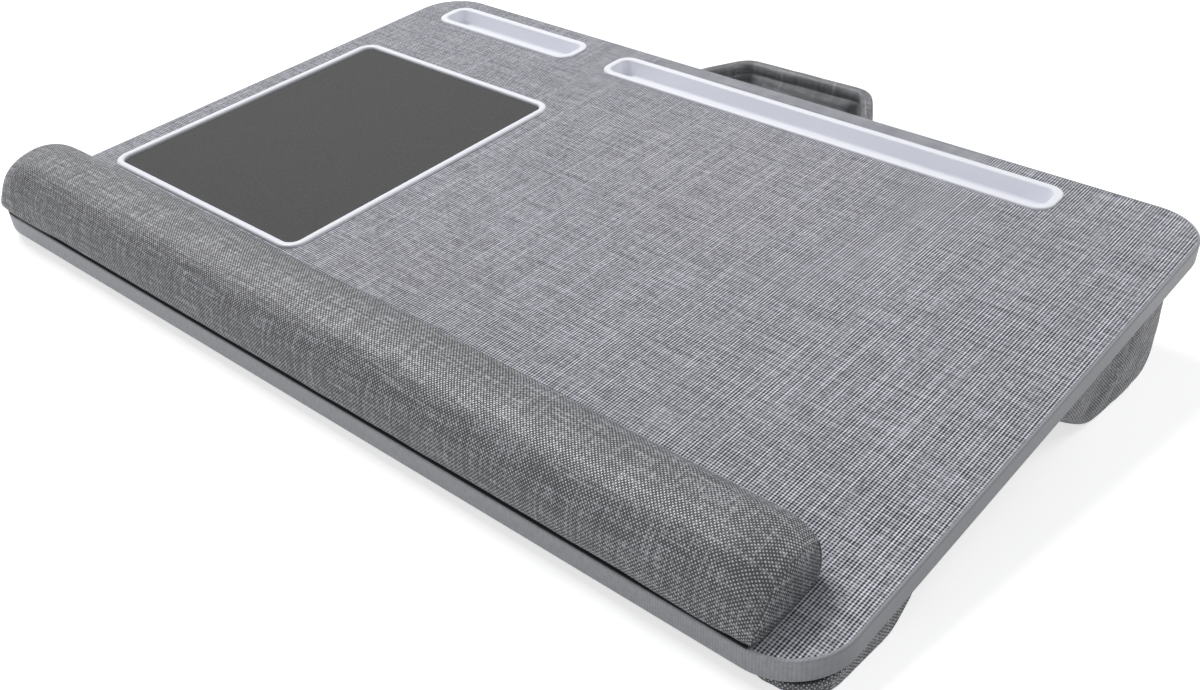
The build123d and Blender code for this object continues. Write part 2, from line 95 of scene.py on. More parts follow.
def add(tree, kind, settings=None, inputs=None):
    """Adds one node to a tree, with its settings, and with a value or a link for each input named."""
    node = tree.nodes.new(kind)
    for name, value in (settings or {}).items():
        setattr(node, name, value)
    for name, value in (inputs or {}).items():
        if isinstance(value, bpy.types.NodeSocket):
            tree.links.new(value, node.inputs[name])
        else:
            node.inputs[name].default_value = value
    return node


# Studio: a white paper sweep under three softboxes, in a pale room that fills the shadows.
# The paper stays white to the camera, in gloss and through glass, and still takes the tray's shadow.
studio_white = linear("#ffffff")
paper_white = linear("#d6d6d6")
room_grey = linear("#e2e5ec")
room_strength = 0.26
paper_glow = 0.68


def seen_rays(tree):
    """1 for a ray from the camera, from gloss or through glass, and 0 for any other."""
    rays = add(tree, "ShaderNodeLightPath")
    glossy = add(tree, "ShaderNodeMath", {"operation": "MAXIMUM"},
                 {0: rays.outputs["Is Camera Ray"], 1: rays.outputs["Is Glossy Ray"]})
    return add(tree, "ShaderNodeMath", {"operation": "MAXIMUM"},
               {0: glossy.outputs[0], 1: rays.outputs["Is Transmission Ray"]}).outputs[0]


def soft_lamp(name, place, aim, width, depth, watts):
    """A rectangular softbox at a place, turned towards the point that it aims at."""
    data = bpy.data.lights.new(name, "AREA")
    data.shape = "RECTANGLE"
    data.size = width
    data.size_y = depth
    data.energy = watts
    lamp = bpy.data.objects.new(name, data)
    lamp.location = place
    lamp.rotation_mode = "QUATERNION"
    lamp.rotation_quaternion = (Vector(aim) - Vector(place)).to_track_quat("-Z", "Y")
    scene.collection.objects.link(lamp)


tray_middle = (0.0, 0.0, 0.05)
soft_lamp("softbox_key", (-1.75, -0.05, 3.0), tray_middle, width=1.9, depth=1.4, watts=84.0)
soft_lamp("softbox_back", (1.2, 1.3, 1.98), tray_middle, width=1.4, depth=1.4, watts=15.5)
soft_lamp("softbox_front", (0.3, -1.9, 0.3), tray_middle, width=0.8, depth=0.8, watts=4.4)

world = bpy.data.worlds.new("pale_room")
world.use_nodes = True
scene.world = world
world_tree = world.node_tree
world_tree.nodes.clear()
room_light = add(world_tree, "ShaderNodeBackground", None, {"Color": room_grey, "Strength": room_strength})
room_seen = add(world_tree, "ShaderNodeBackground", None, {"Color": studio_white, "Strength": 1.0})
room_mix = add(world_tree, "ShaderNodeMixShader", None,
               {0: seen_rays(world_tree), 1: room_light.outputs[0], 2: room_seen.outputs[0]})
add(world_tree, "ShaderNodeOutputWorld", None, {"Surface": room_mix.outputs[0]})

paper = bpy.data.materials.new("white_paper_sweep")
paper.use_nodes = True
paper_tree = paper.node_tree
paper_tree.nodes.clear()
paper_base = add(paper_tree, "ShaderNodeBsdfDiffuse", None, {"Color": paper_white})
paper_shine = add(paper_tree, "ShaderNodeEmission", None, {"Color": studio_white, "Strength": paper_glow})
paper_both = add(paper_tree, "ShaderNodeAddShader", None,
                 {0: paper_base.outputs[0], 1: paper_shine.outputs[0]})
paper_mix = add(paper_tree, "ShaderNodeMixShader", None,
                {0: seen_rays(paper_tree), 1: paper_base.outputs[0], 2: paper_both.outputs[0]})
add(paper_tree, "ShaderNodeOutputMaterial", None, {"Surface": paper_mix.outputs[0]})

floor_half = 4.0
floor_mesh = bpy.data.meshes.new("floor")
floor_mesh.from_pydata([(-floor_half, -floor_half, 0), (floor_half, -floor_half, 0),
                        (floor_half, floor_half, 0), (-floor_half, floor_half, 0)], [], [(0, 1, 2, 3)])
floor_mesh.materials.append(paper)
floor = bpy.data.objects.new("floor", floor_mesh)
scene.collection.objects.link(floor)
floor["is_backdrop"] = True


# Tray board: a 12 mm sheet of fibreboard with linen-print melamine laminate on top, a plain balancing
# sheet below and a grey ABS band glued round its edge. The two slots and the pad's pocket are milled.
laptop_area = next(m for m in frame["record"]["mounts"] if m["name"] == "laptop_area")
tilt = math.atan2(-laptop_area["axis"][1], laptop_area["axis"][2])
tilt_turn = Matrix.Rotation(tilt, 4, "X")


def level_box(name):
    """Lowest and highest corner of a CAD node once the tray's tilt is taken away."""
    points = [tilt_turn.inverted() @ v.co for v in frame["nodes"][name].data.vertices]
    low = Vector([min(p[axis] for p in points) for axis in range(3)])
    high = Vector([max(p[axis] for p in points) for axis in range(3)])
    return low, high


band_low, band_high = level_box("edge_band")
tray_place = tilt_turn @ Matrix.Translation((0, band_low.y, band_high.z))


def tray_box(name):
    """Lowest and highest corner of a CAD node in the tray's axes: y from its front edge, z off its top."""
    low, high = level_box(name)
    origin = Vector((0, band_low.y, band_high.z))
    return low - origin, high - origin


def start_material(name, roughness, **values):
    """A new material with one Principled shader, and the inputs that are the same all over it."""
    material = bpy.data.materials.new(name)
    material.use_nodes = True
    shader = material.node_tree.nodes["Principled BSDF"]
    shader.inputs["Roughness"].default_value = roughness
    for key, value in values.items():
        shader.inputs[key.replace("_", " ")].default_value = value
    return material, material.node_tree, shader


def dress(name, material):
    """Puts a material on a CAD node's own slots."""
    for material_slot in frame["nodes"][name].material_slots:
        material_slot.material = material


def in_tray_axes(tree):
    """Places in the tray's own axes, for patterns that lie in the plane of the board."""
    place = add(tree, "ShaderNodeTexCoord")
    return add(tree, "ShaderNodeMapping", None,
               {"Vector": place.outputs["Object"], "Rotation": (-tilt, 0, 0)}).outputs[0]


# Linen-print melamine laminate, hot pressed on the board with a fine texture plate. The print is a plain
# weave: grey cells of mixed dark and pale yarn, under pale warp lines that run from front to back.
# The real threads are 1.36 mm apart, drawn a fifth coarser so that a picture of this size shows them.
linen_warp = 0.00164
linen_weft = 0.00156
linen_slub = 0.03
thick_warp_gap = 0.0026
thick_warp_run = 0.12
dark_weft_gap = 0.003
dark_weft_run = 0.1
linen_dark = linear("#2b2c32")
linen_light = linear("#f4f5fd")

linen, tree, shader = start_material("linen_print_melamine", 0.66, IOR=1.5, Specular_IOR_Level=0.15)
at = in_tray_axes(tree)
board_place = add(tree, "ShaderNodeSeparateXYZ", None, {0: at})
warp_turns = add(tree, "ShaderNodeMath", {"operation": "MULTIPLY"},
                 {0: board_place.outputs["X"], 1: math.pi / linen_warp})
weft_turns = add(tree, "ShaderNodeMath", {"operation": "MULTIPLY"},
                 {0: board_place.outputs["Y"], 1: math.pi / linen_weft})
warp_wave = add(tree, "ShaderNodeMath", {"operation": "SINE"}, {0: warp_turns.outputs[0]})
weft_wave = add(tree, "ShaderNodeMath", {"operation": "SINE"}, {0: weft_turns.outputs[0]})
warp_ridge = add(tree, "ShaderNodeMath", {"operation": "ABSOLUTE"}, {0: warp_wave.outputs[0]})
weft_ridge = add(tree, "ShaderNodeMath", {"operation": "ABSOLUTE"}, {0: weft_wave.outputs[0]})
# each crossing of two threads has a tone of its own
crossings = add(tree, "ShaderNodeVectorMath", {"operation": "SNAP"},
                {0: at, 1: (linen_warp, linen_weft, 1.0)})
crossing_yarn = add(tree, "ShaderNodeTexWhiteNoise", {"noise_dimensions": "2D"},
                    {"Vector": crossings.outputs[0]})
crossing_tone = add(tree, "ShaderNodeMapRange", None,
                    {"Value": crossing_yarn.outputs["Value"], "To Min": -0.09, "To Max": 0.09})
# some threads are paler than the others for a few centimetres
warp_slubs = add(tree, "ShaderNodeMapping", None,
                 {"Vector": at, "Scale": (1 / linen_warp, 1 / linen_slub, 0)})
warp_yarn = add(tree, "ShaderNodeTexNoise", {"noise_dimensions": "2D"},
                {"Vector": warp_slubs.outputs[0], "Scale": 0.8, "Detail": 1.0})
line_reach = add(tree, "ShaderNodeMapRange", None,
                 {"Value": warp_yarn.outputs[0], "From Min": 0.3, "From Max": 0.7,
                  "To Min": 0.22, "To Max": 0.82})
weft_slubs = add(tree, "ShaderNodeMapping", None,
                 {"Vector": at, "Scale": (1 / linen_slub, 1 / linen_weft, 0)})
weft_yarn = add(tree, "ShaderNodeTexNoise", {"noise_dimensions": "2D"},
                {"Vector": weft_slubs.outputs[0], "Scale": 0.8, "Detail": 1.0})
ground_tone = add(tree, "ShaderNodeMapRange", None,
                  {"Value": weft_yarn.outputs[0], "From Min": 0.3, "From Max": 0.7,
                   "To Min": 0.3, "To Max": 0.42})
# now and then a thick pale warp yarn, or a dark weft yarn, runs on for a hand's breadth
long_warp = add(tree, "ShaderNodeMapping", None,
                {"Vector": at, "Scale": (1 / thick_warp_gap, 1 / thick_warp_run, 0)})
thick_warp = add(tree, "ShaderNodeTexNoise", {"noise_dimensions": "2D"},
                 {"Vector": long_warp.outputs[0], "Scale": 1.0, "Detail": 1.0})
pale_thread = add(tree, "ShaderNodeMapRange", None,
                  {"Value": thick_warp.outputs[0], "From Min": 0.55, "From Max": 0.72,
                   "To Min": 0.0, "To Max": 0.1})
long_weft = add(tree, "ShaderNodeMapping", None,
                {"Vector": at, "Scale": (1 / dark_weft_run, 1 / dark_weft_gap, 0)})
dark_weft = add(tree, "ShaderNodeTexNoise", {"noise_dimensions": "2D"},
                {"Vector": long_weft.outputs[0], "Scale": 1.0, "Detail": 1.0})
dark_thread = add(tree, "ShaderNodeMapRange", None,
                  {"Value": dark_weft.outputs[0], "From Min": 0.56, "From Max": 0.72,
                   "To Min": 0.0, "To Max": 0.05})
thread_shift = add(tree, "ShaderNodeMath", {"operation": "SUBTRACT"},
                   {0: pale_thread.outputs[0], 1: dark_thread.outputs[0]})
# pale warp line, thin and raised, and a dark pinhole beside it where the weft crosses
warp_thin = add(tree, "ShaderNodeMath", {"operation": "POWER"}, {0: warp_ridge.outputs[0], 1: 3.0})
warp_over = add(tree, "ShaderNodeMapRange", None,
                {"Value": weft_ridge.outputs[0], "To Min": 0.5, "To Max": 1.15})
warp_shown = add(tree, "ShaderNodeMath", {"operation": "MULTIPLY"},
                 {0: warp_thin.outputs[0], 1: warp_over.outputs[0]})
warp_line = add(tree, "ShaderNodeMath", {"operation": "SUBTRACT"}, {0: warp_shown.outputs[0], 1: 0.39})
lines = add(tree, "ShaderNodeMath", {"operation": "MULTIPLY_ADD"},
            {0: warp_line.outputs[0], 1: line_reach.outputs[0], 2: ground_tone.outputs[0]})
between_warp = add(tree, "ShaderNodeMath", {"operation": "SUBTRACT"}, {0: 1.0, 1: warp_thin.outputs[0]})
between_weft = add(tree, "ShaderNodeMath", {"operation": "SUBTRACT"}, {0: 1.0, 1: weft_ridge.outputs[0]})
pinhole = add(tree, "ShaderNodeMath", {"operation": "MULTIPLY"},
              {0: between_warp.outputs[0], 1: between_weft.outputs[0]})
threads_tone = add(tree, "ShaderNodeMath", {"operation": "MULTIPLY_ADD"},
                   {0: pinhole.outputs[0], 1: -0.55, 2: lines.outputs[0]})
yarn_tone = add(tree, "ShaderNodeMath", {"operation": "ADD"},
                {0: threads_tone.outputs[0], 1: thread_shift.outputs[0]})
speckled = add(tree, "ShaderNodeMath", {"operation": "ADD"},
               {0: yarn_tone.outputs[0], 1: crossing_tone.outputs[0]})
tone = add(tree, "ShaderNodeMath", {"operation": "ADD", "use_clamp": True},
           {0: speckled.outputs[0], 1: 0.07})
colour = add(tree, "ShaderNodeMix", {"data_type": "RGBA"},
             {"Factor": tone.outputs[0], "A": linen_dark, "B": linen_light})
relief = add(tree, "ShaderNodeBump", None,
             {"Height": threads_tone.outputs[0], "Strength": 0.3, "Distance": 0.00006})
tree.links.new(colour.outputs["Result"], shader.inputs["Base Color"])
tree.links.new(relief.outputs[0], shader.inputs["Normal"])
dress("top_laminate", linen)

# Plain grey balancing laminate: a matt paper laminate with a faint mottle, about 1 mm across.
mottle_size = 0.0011
backing, tree, shader = start_material("grey_balancing_laminate", 0.62, IOR=1.5)
at = in_tray_axes(tree)
mottle = add(tree, "ShaderNodeTexNoise", None, {"Vector": at, "Scale": 1 / mottle_size, "Detail": 3.0})
colour = add(tree, "ShaderNodeMix", {"data_type": "RGBA"},
             {"Factor": mottle.outputs[0], "A": linear("#6b6c6f"), "B": linear("#87888b")})
relief = add(tree, "ShaderNodeBump", None,
             {"Height": mottle.outputs[0], "Strength": 0.2, "Distance": 0.00005})
tree.links.new(colour.outputs["Result"], shader.inputs["Base Color"])
tree.links.new(relief.outputs[0], shader.inputs["Normal"])
dress("backing_sheet", backing)

# Medium density fibreboard: brown pressed wood fibre, matt, in clumps of about 0.7 mm.
fibre_clump = 0.0007
fibreboard, tree, shader = start_material("medium_density_fibreboard", 0.85, IOR=1.45)
at = in_tray_axes(tree)
fibres = add(tree, "ShaderNodeTexNoise", None,
             {"Vector": at, "Scale": 1 / fibre_clump, "Detail": 4.0, "Roughness": 0.7})
colour = add(tree, "ShaderNodeMix", {"data_type": "RGBA"},
             {"Factor": fibres.outputs[0], "A": linear("#8d7048"), "B": linear("#c2a377")})
relief = add(tree, "ShaderNodeBump", None,
             {"Height": fibres.outputs[0], "Strength": 0.4, "Distance": 0.0001})
tree.links.new(colour.outputs["Result"], shader.inputs["Base Color"])
tree.links.new(relief.outputs[0], shader.inputs["Normal"])
dress("board_core", fibreboard)

# Extruded ABS edge band, printed with fine upright lines every 1.4 mm along the front and back,
# which fade on the ends, where the band is painted darker as shade on its end faces. Satin, with a paler
# line painted along its rounded top edge as a highlight.
band_line_pitch = 0.0014
band_yarn_width = 0.002
band_yarn_run = 0.033
band_yarn_height = 0.003
band_shade_fade_start = band_high.x - 0.012
band_shade_fade_end = band_high.x - 0.0005
band_highlight_start = -0.0011
band_highlight_full = -0.0004
band, tree, shader = start_material("satin_abs_edge_band", 0.42, IOR=1.53, Specular_IOR_Level=0.25)
at = in_tray_axes(tree)
band_place = add(tree, "ShaderNodeSeparateXYZ", None, {0: at})
line_turns = add(tree, "ShaderNodeMath", {"operation": "MULTIPLY"},
                 {0: band_place.outputs["X"], 1: math.pi / band_line_pitch})
line_wave = add(tree, "ShaderNodeMath", {"operation": "SINE"}, {0: line_turns.outputs[0]})
line_ridge = add(tree, "ShaderNodeMath", {"operation": "ABSOLUTE"}, {0: line_wave.outputs[0]})
line_slubs = add(tree, "ShaderNodeMapping", None,
                 {"Vector": at,
                  "Scale": (1 / band_yarn_width, 1 / band_yarn_run, 1 / band_yarn_height)})
line_yarn = add(tree, "ShaderNodeTexNoise", None,
                {"Vector": line_slubs.outputs[0], "Scale": 0.9, "Detail": 2.0, "Roughness": 0.65})
line_spread = add(tree, "ShaderNodeMapRange", None,
                  {"Value": line_yarn.outputs[0], "From Min": 0.3, "From Max": 0.7,
                   "To Min": 0.0, "To Max": 0.55})
line_tone = add(tree, "ShaderNodeMath", {"operation": "MULTIPLY_ADD"},
                {0: line_ridge.outputs[0], 1: 0.45, 2: line_spread.outputs[0]})
colour = add(tree, "ShaderNodeMix", {"data_type": "RGBA"},
             {"Factor": line_tone.outputs[0], "A": linear("#404246"), "B": linear("#cfd1d5")})
# a paler line painted along the rounded top edge, as a highlight
top_edge_highlight = add(tree, "ShaderNodeMapRange", None,
              {"Value": band_place.outputs["Z"], "From Min": band_highlight_start,
               "From Max": band_highlight_full, "To Min": 0.0, "To Max": 0.7})
across_band = add(tree, "ShaderNodeMath", {"operation": "ABSOLUTE"}, {0: band_place.outputs["X"]})
on_shaded_end = add(tree, "ShaderNodeMapRange", None,
             {"Value": across_band.outputs[0], "From Min": band_shade_fade_start, "From Max": band_shade_fade_end})
# the ends are plain, without lines, and painted darker as shade on the band's end faces
plain_shaded_end = add(tree, "ShaderNodeMix", {"data_type": "RGBA"},
            {"Factor": on_shaded_end.outputs[0], "A": colour.outputs["Result"], "B": linear("#4c4e52")})
highlighted_edge = add(tree, "ShaderNodeMix", {"data_type": "RGBA"},
            {"Factor": top_edge_highlight.outputs[0], "A": plain_shaded_end.outputs["Result"], "B": linear("#a9abaf")})
relief = add(tree, "ShaderNodeBump", None,
             {"Height": line_tone.outputs[0], "Strength": 0.25, "Distance": 0.00006})
tree.links.new(highlighted_edge.outputs["Result"], shader.inputs["Base Color"])
tree.links.new(relief.outputs[0], shader.inputs["Normal"])
dress("edge_band", band)


# Slot liners and mouse pad frame: injection moulded ABS with a satin spark finish, pressed into the
# milled cuts. The finish scatters light softly and shows a very fine grain.
spark_grain = 0.0004
flow_length = 0.07
white_abs, tree, shader = start_material("satin_white_abs", 0.36, IOR=1.53)
at = in_tray_axes(tree)
grain = add(tree, "ShaderNodeTexNoise", None, {"Vector": at, "Scale": 1 / spark_grain, "Detail": 1.0})
flow = add(tree, "ShaderNodeTexNoise", None, {"Vector": at, "Scale": 1 / flow_length, "Detail": 1.0})
colour = add(tree, "ShaderNodeMix", {"data_type": "RGBA"},
             {"Factor": flow.outputs[0], "A": linear("#eff0f7"), "B": linear("#f5f6fb")})
relief = add(tree, "ShaderNodeBump", None,
             {"Height": grain.outputs[0], "Strength": 0.12, "Distance": 0.00004})
tree.links.new(colour.outputs["Result"], shader.inputs["Base Color"])
tree.links.new(relief.outputs[0], shader.inputs["Normal"])
for name in ("pen_slot_liner", "tablet_slot_liner", "mouse_pad_frame"):
    dress(name, white_abs)


# Mouse mat: dark grey polyurethane leather glued in the pocket, with a fine embossed pebble grain.
# It is matt, with a slight gloss on the grain's tops.
pebble = 0.0007
wear_patch = 0.0011
mat, tree, shader = start_material("grained_polyurethane_leather", 0.7, IOR=1.5, Specular_IOR_Level=0.12)
at = in_tray_axes(tree)
pebbles = add(tree, "ShaderNodeTexVoronoi", {"feature": "F1"}, {"Vector": at, "Scale": 1 / pebble})
wear = add(tree, "ShaderNodeTexNoise", None, {"Vector": at, "Scale": 1 / wear_patch, "Detail": 3.0})
grain_tone = add(tree, "ShaderNodeMath", {"operation": "MULTIPLY_ADD", "use_clamp": True},
                 {0: pebbles.outputs["Distance"], 1: -0.5, 2: wear.outputs[0]})
colour = add(tree, "ShaderNodeMix", {"data_type": "RGBA"},
             {"Factor": grain_tone.outputs[0], "A": linear("#4c4c4c"), "B": linear("#606060")})
relief = add(tree, "ShaderNodeBump", {"invert": True},
             {"Height": pebbles.outputs["Distance"], "Strength": 0.5, "Distance": 0.0001})
tree.links.new(colour.outputs["Result"], shader.inputs["Base Color"])
tree.links.new(relief.outputs[0], shader.inputs["Normal"])
dress("mouse_pad_mat", mat)


# Wrist rest: a foam roll on a stiff strip, wrapped in grey melange polyester and closed by two sewn end
# panels. Two strips of foam tape hold it down along the front edge.
rest_low, rest_high = tray_box("wrist_rest_cover")
rest_end_run = 0.030
rest_end_swell = 0.0026
rest_step = 0.004
rest_end_steps = 9
rest_points = 64
rest_groove = 0.0016
rest_stuck_height = 0.0006
rest_pressure = 3.0
rest_slack = 0.005
rest_most_move = 0.0010
rest_slump_share = 0.018
rest_slumps_per_metre = 9
rest_lean = 0.0010
rest_leans_per_metre = 7

# Outline of the full roll and of its end seam: shares of the roll's depth and height, from the middle
# of the foot round the back, the top and the front
rest_outline_shares = (
    ((0.49, 0.0), (0.49, 0.0)), ((0.75, 0.0), (0.71, 0.0)), ((0.91, 0.01), (0.86, 0.01)),
    ((0.98, 0.13), (0.905, 0.07)), ((1.0, 0.37), (0.91, 0.28)), ((0.99, 0.59), (0.89, 0.50)),
    ((0.93, 0.80), (0.86, 0.645)), ((0.80, 0.93), (0.75, 0.74)), ((0.64, 0.99), (0.60, 0.80)),
    ((0.45, 1.0), (0.45, 0.75)), ((0.27, 0.95), (0.32, 0.66)), ((0.13, 0.83), (0.22, 0.55)),
    ((0.04, 0.635), (0.145, 0.42)), ((0.005, 0.405), (0.085, 0.27)), ((-0.008, 0.20), (0.045, 0.14)),
    ((0.002, 0.06), (0.035, 0.045)), ((0.035, 0.0), (0.045, 0.0)), ((0.14, 0.0), (0.15, 0.0)))


def mixed(first, second, share):
    """The pair of numbers that lies a share of the way from the first pair to the second."""
    return (first[0] + (second[0] - first[0]) * share, first[1] + (second[1] - first[1]) * share)


def reach_along(points):
    """Distance along a line of points to each of them."""
    reach = [0.0]
    for start, end in zip(points, points[1:]):
        reach.append(reach[-1] + (end - start).length)
    return reach


def smooth_loop(points, count):
    """Evenly spaced points on a smooth closed curve through a few chosen points."""
    spans = 12
    fine = []
    total = len(points)
    for index in range(total):
        a, b, c, d = (Vector(points[(index + shift) % total]) for shift in (-1, 0, 1, 2))
        for step in range(spans):
            t = step / spans
            fine.append(0.5 * ((2 * b) + (c - a) * t + (2 * a - 5 * b + 4 * c - d) * t ** 2
                               + (3 * b - a - 3 * c + d) * t ** 3))
    fine.append(fine[0])
    reach = reach_along(fine)
    loop = []
    place = 0
    for index in range(count):
        wanted = reach[-1] * index / count
        while reach[place + 1] < wanted:
            place += 1
        share = (wanted - reach[place]) / (reach[place + 1] - reach[place])
        loop.append(fine[place].lerp(fine[place + 1], share))
    return loop


def stations_along(half, end_run, step, end_steps):
    """Places along a roll: even in the middle and closer together in the drawn-in ends."""
    straight = half - end_run
    count = round(2 * straight / step)
    middle = [-straight + 2 * straight * index / count for index in range(count + 1)]
    ends = [straight + end_run * math.sin(math.pi / 2 * index / end_steps)
            for index in range(1, end_steps + 1)]
    return [-place for place in reversed(ends)] + middle + ends


def turn_outward(mesh):
    """Turns every face of a closed mesh outward."""
    shape = bmesh.new()
    shape.from_mesh(mesh)
    bmesh.ops.recalc_face_normals(shape, faces=shape.faces)
    shape.to_mesh(mesh)
    shape.free()


def put_on_tray(name, mesh, material):
    """A piece in one material, from a mesh drawn in the tray's axes, put where the tray stands."""
    mesh.materials.append(material)
    mesh.transform(tray_place)
    piece = bpy.data.objects.new(name, mesh)
    scene.collection.objects.link(piece)
    return piece


def closed_skin(name, rings, along, around, swell, material, groove=0.0):
    """A closed fabric skin through rings of points, with a panel over each end that swells outward.
    Where the panel is sewn in, it dips by the groove's depth just inside its edge.

    Its UV map holds thread coordinates in metres: along and around the piece, and on the end panels
    the place across them."""
    count = len(rings[0])
    seam_share = 0.97
    points = [point for ring in rings for point in ring]
    faces = []
    threads = []
    for i in range(len(rings) - 1):
        for j in range(count):
            k = (j + 1) % count
            faces.append((i * count + j, (i + 1) * count + j, (i + 1) * count + k, i * count + k))
            threads.append(((along[i], around[j]), (along[i + 1], around[j]),
                            (along[i + 1], around[j + 1]), (along[i], around[j + 1])))
    for end, before in ((0, 1), (len(rings) - 1, len(rings) - 2)):
        centre = sum(rings[end], Vector()) / count
        outward = (centre - sum(rings[before], Vector()) / count).normalized()
        outer = [end * count + j for j in range(count)]
        for share in (seam_share, 0.93, 0.82, 0.66, 0.46, 0.24):
            inner = []
            for j in range(count):
                inner.append(len(points))
                rise = outward * (-groove if share == seam_share else swell * (1 - share ** 2) ** 0.7)
                points.append(centre + (rings[end][j] - centre) * share + rise)
            for j in range(count):
                k = (j + 1) % count
                faces.append((outer[j], outer[k], inner[k], inner[j]))
            outer = inner
        tip = len(points)
        points.append(centre + outward * swell)
        for j in range(count):
            faces.append((outer[j], outer[(j + 1) % count], tip))
    for face in faces[len(threads):]:
        threads.append(tuple((points[corner].y, points[corner].z) for corner in face))
    mesh = bpy.data.meshes.new(name)
    mesh.from_pydata(points, [], faces)
    layer = mesh.uv_layers.new(name="threads")
    for polygon, places in zip(mesh.polygons, threads):
        polygon.use_smooth = True
        for loop, place in zip(polygon.loop_indices, places):
            layer.uv[loop].vector = place
    turn_outward(mesh)
    return put_on_tray(name, mesh, material)


def girth_along(ring):
    """Distance round a ring to each of its points, and all the way round."""
    return reach_along(ring + [ring[0]])


cloth_frames = 20


def inflate(piece, sewn, pressure, slack, most_move):
    """Blows a fabric skin out by cloth simulation, held where it is sewn or stuck down.

    slack is the share by which the cloth is cut larger than the form, and no point moves further
    than most_move."""
    group = piece.vertex_groups.new(name="sewn")
    group.add(sewn, 1.0, "REPLACE")
    start = [vertex.co.copy() for vertex in piece.data.vertices]
    cloth = piece.modifiers.new("cloth", "CLOTH")
    cloth.settings.quality = 6
    cloth.settings.mass = 0.2
    cloth.settings.tension_stiffness = 25
    cloth.settings.compression_stiffness = 25
    cloth.settings.shear_stiffness = 8
    cloth.settings.bending_stiffness = 2.0
    cloth.settings.vertex_group_mass = "sewn"
    cloth.settings.use_pressure = True
    cloth.settings.uniform_pressure_force = pressure
    cloth.settings.shrink_min = -slack
    cloth.settings.shrink_max = -slack
    cloth.settings.effector_weights.gravity = 0
    cloth.collision_settings.use_collision = False
    cloth.point_cache.frame_start = 1
    cloth.point_cache.frame_end = cloth_frames
    for frame_number in range(1, cloth_frames + 1):
        scene.frame_set(frame_number)
    blown = piece.evaluated_get(bpy.context.evaluated_depsgraph_get())
    ends = [vertex.co.copy() for vertex in blown.data.vertices]
    piece.modifiers.remove(cloth)
    scene.frame_set(1)
    for vertex, before, after in zip(piece.data.vertices, start, ends):
        move = after - before
        if move.length > most_move:
            move = move.normalized() * most_move
        vertex.co = before + move
        vertex.co.z = max(vertex.co.z, 0.0001)
    piece.vertex_groups.remove(group)


def refine(piece):
    """Adds one subdivision, so that the fabric's outline is smooth."""
    modifier = piece.modifiers.new("subdivision", "SUBSURF")
    modifier.levels = 1
    modifier.render_levels = 1


# Melange polyester, a coarse plain weave of pale and dark grey yarn. Pale yarn shows at every second
# crossing as a bright dot. The threads are about 0.9 mm apart.
weave_along = 0.00092
weave_around = 0.00098
weave_slub = 0.022
yarn_dark = linear("#0f1012")
yarn_light = linear("#ced0d6")

melange, tree, shader = start_material("melange_polyester_weave", 0.34, IOR=1.5, Specular_IOR_Level=0.9)
threads = add(tree, "ShaderNodeUVMap", {"uv_map": "threads"})
parts = add(tree, "ShaderNodeSeparateXYZ", None, {0: threads.outputs[0]})
along_turns = add(tree, "ShaderNodeMath", {"operation": "MULTIPLY"},
                  {0: parts.outputs[0], 1: math.pi / weave_along})
around_turns = add(tree, "ShaderNodeMath", {"operation": "MULTIPLY"},
                   {0: parts.outputs[1], 1: math.pi / weave_around})
along_wave = add(tree, "ShaderNodeMath", {"operation": "SINE"}, {0: along_turns.outputs[0]})
around_wave = add(tree, "ShaderNodeMath", {"operation": "SINE"}, {0: around_turns.outputs[0]})
crossing = add(tree, "ShaderNodeMath", {"operation": "MULTIPLY"},
               {0: along_wave.outputs[0], 1: around_wave.outputs[0]})
along_slubs = add(tree, "ShaderNodeMapping", None,
                  {"Vector": threads.outputs[0], "Scale": (1 / weave_along, 1 / weave_slub, 0)})
around_slubs = add(tree, "ShaderNodeMapping", None,
                   {"Vector": threads.outputs[0], "Scale": (1 / weave_slub, 1 / weave_around, 0)})
along_yarn = add(tree, "ShaderNodeTexNoise", {"noise_dimensions": "2D"},
                 {"Vector": along_slubs.outputs[0], "Scale": 0.7, "Detail": 2.0, "Roughness": 0.6})
around_yarn = add(tree, "ShaderNodeTexNoise", {"noise_dimensions": "2D"},
                  {"Vector": around_slubs.outputs[0], "Scale": 0.7, "Detail": 2.0, "Roughness": 0.6})
dots = add(tree, "ShaderNodeMapRange", {"interpolation_type": "SMOOTHSTEP"},
           {"Value": crossing.outputs[0], "From Min": 0.2, "From Max": 0.85, "To Min": 0.0, "To Max": 1.0})
yarns = add(tree, "ShaderNodeMath", {"operation": "ADD"},
            {0: along_yarn.outputs[0], 1: around_yarn.outputs[0]})
uneven = add(tree, "ShaderNodeMapRange", {"clamp": False},
             {"Value": yarns.outputs[0], "From Min": 0.72, "From Max": 1.28,
              "To Min": -0.28, "To Max": 0.28})
# the yarn is spun from mixed fibres, so every crossing has its own share of pale ones
crossing_places = add(tree, "ShaderNodeMapping", None,
                      {"Vector": threads.outputs[0], "Scale": (1 / weave_along, 1 / weave_around, 0)})
crossing_cells = add(tree, "ShaderNodeVectorMath", {"operation": "FLOOR"},
                     {0: crossing_places.outputs[0]})
crossing_fibres = add(tree, "ShaderNodeTexWhiteNoise", {"noise_dimensions": "2D"},
                      {"Vector": crossing_cells.outputs[0]})
mixed_fibres = add(tree, "ShaderNodeMapRange", None,
                   {"Value": crossing_fibres.outputs["Value"], "To Min": -0.26, "To Max": 0.2})
yarn_change = add(tree, "ShaderNodeMath", {"operation": "ADD"},
                  {0: uneven.outputs[0], 1: mixed_fibres.outputs[0]})
tone = add(tree, "ShaderNodeMath", {"operation": "ADD", "use_clamp": True},
           {0: dots.outputs[0], 1: yarn_change.outputs[0]})
colour = add(tree, "ShaderNodeMix", {"data_type": "RGBA"},
             {"Factor": tone.outputs[0], "A": yarn_dark, "B": yarn_light})
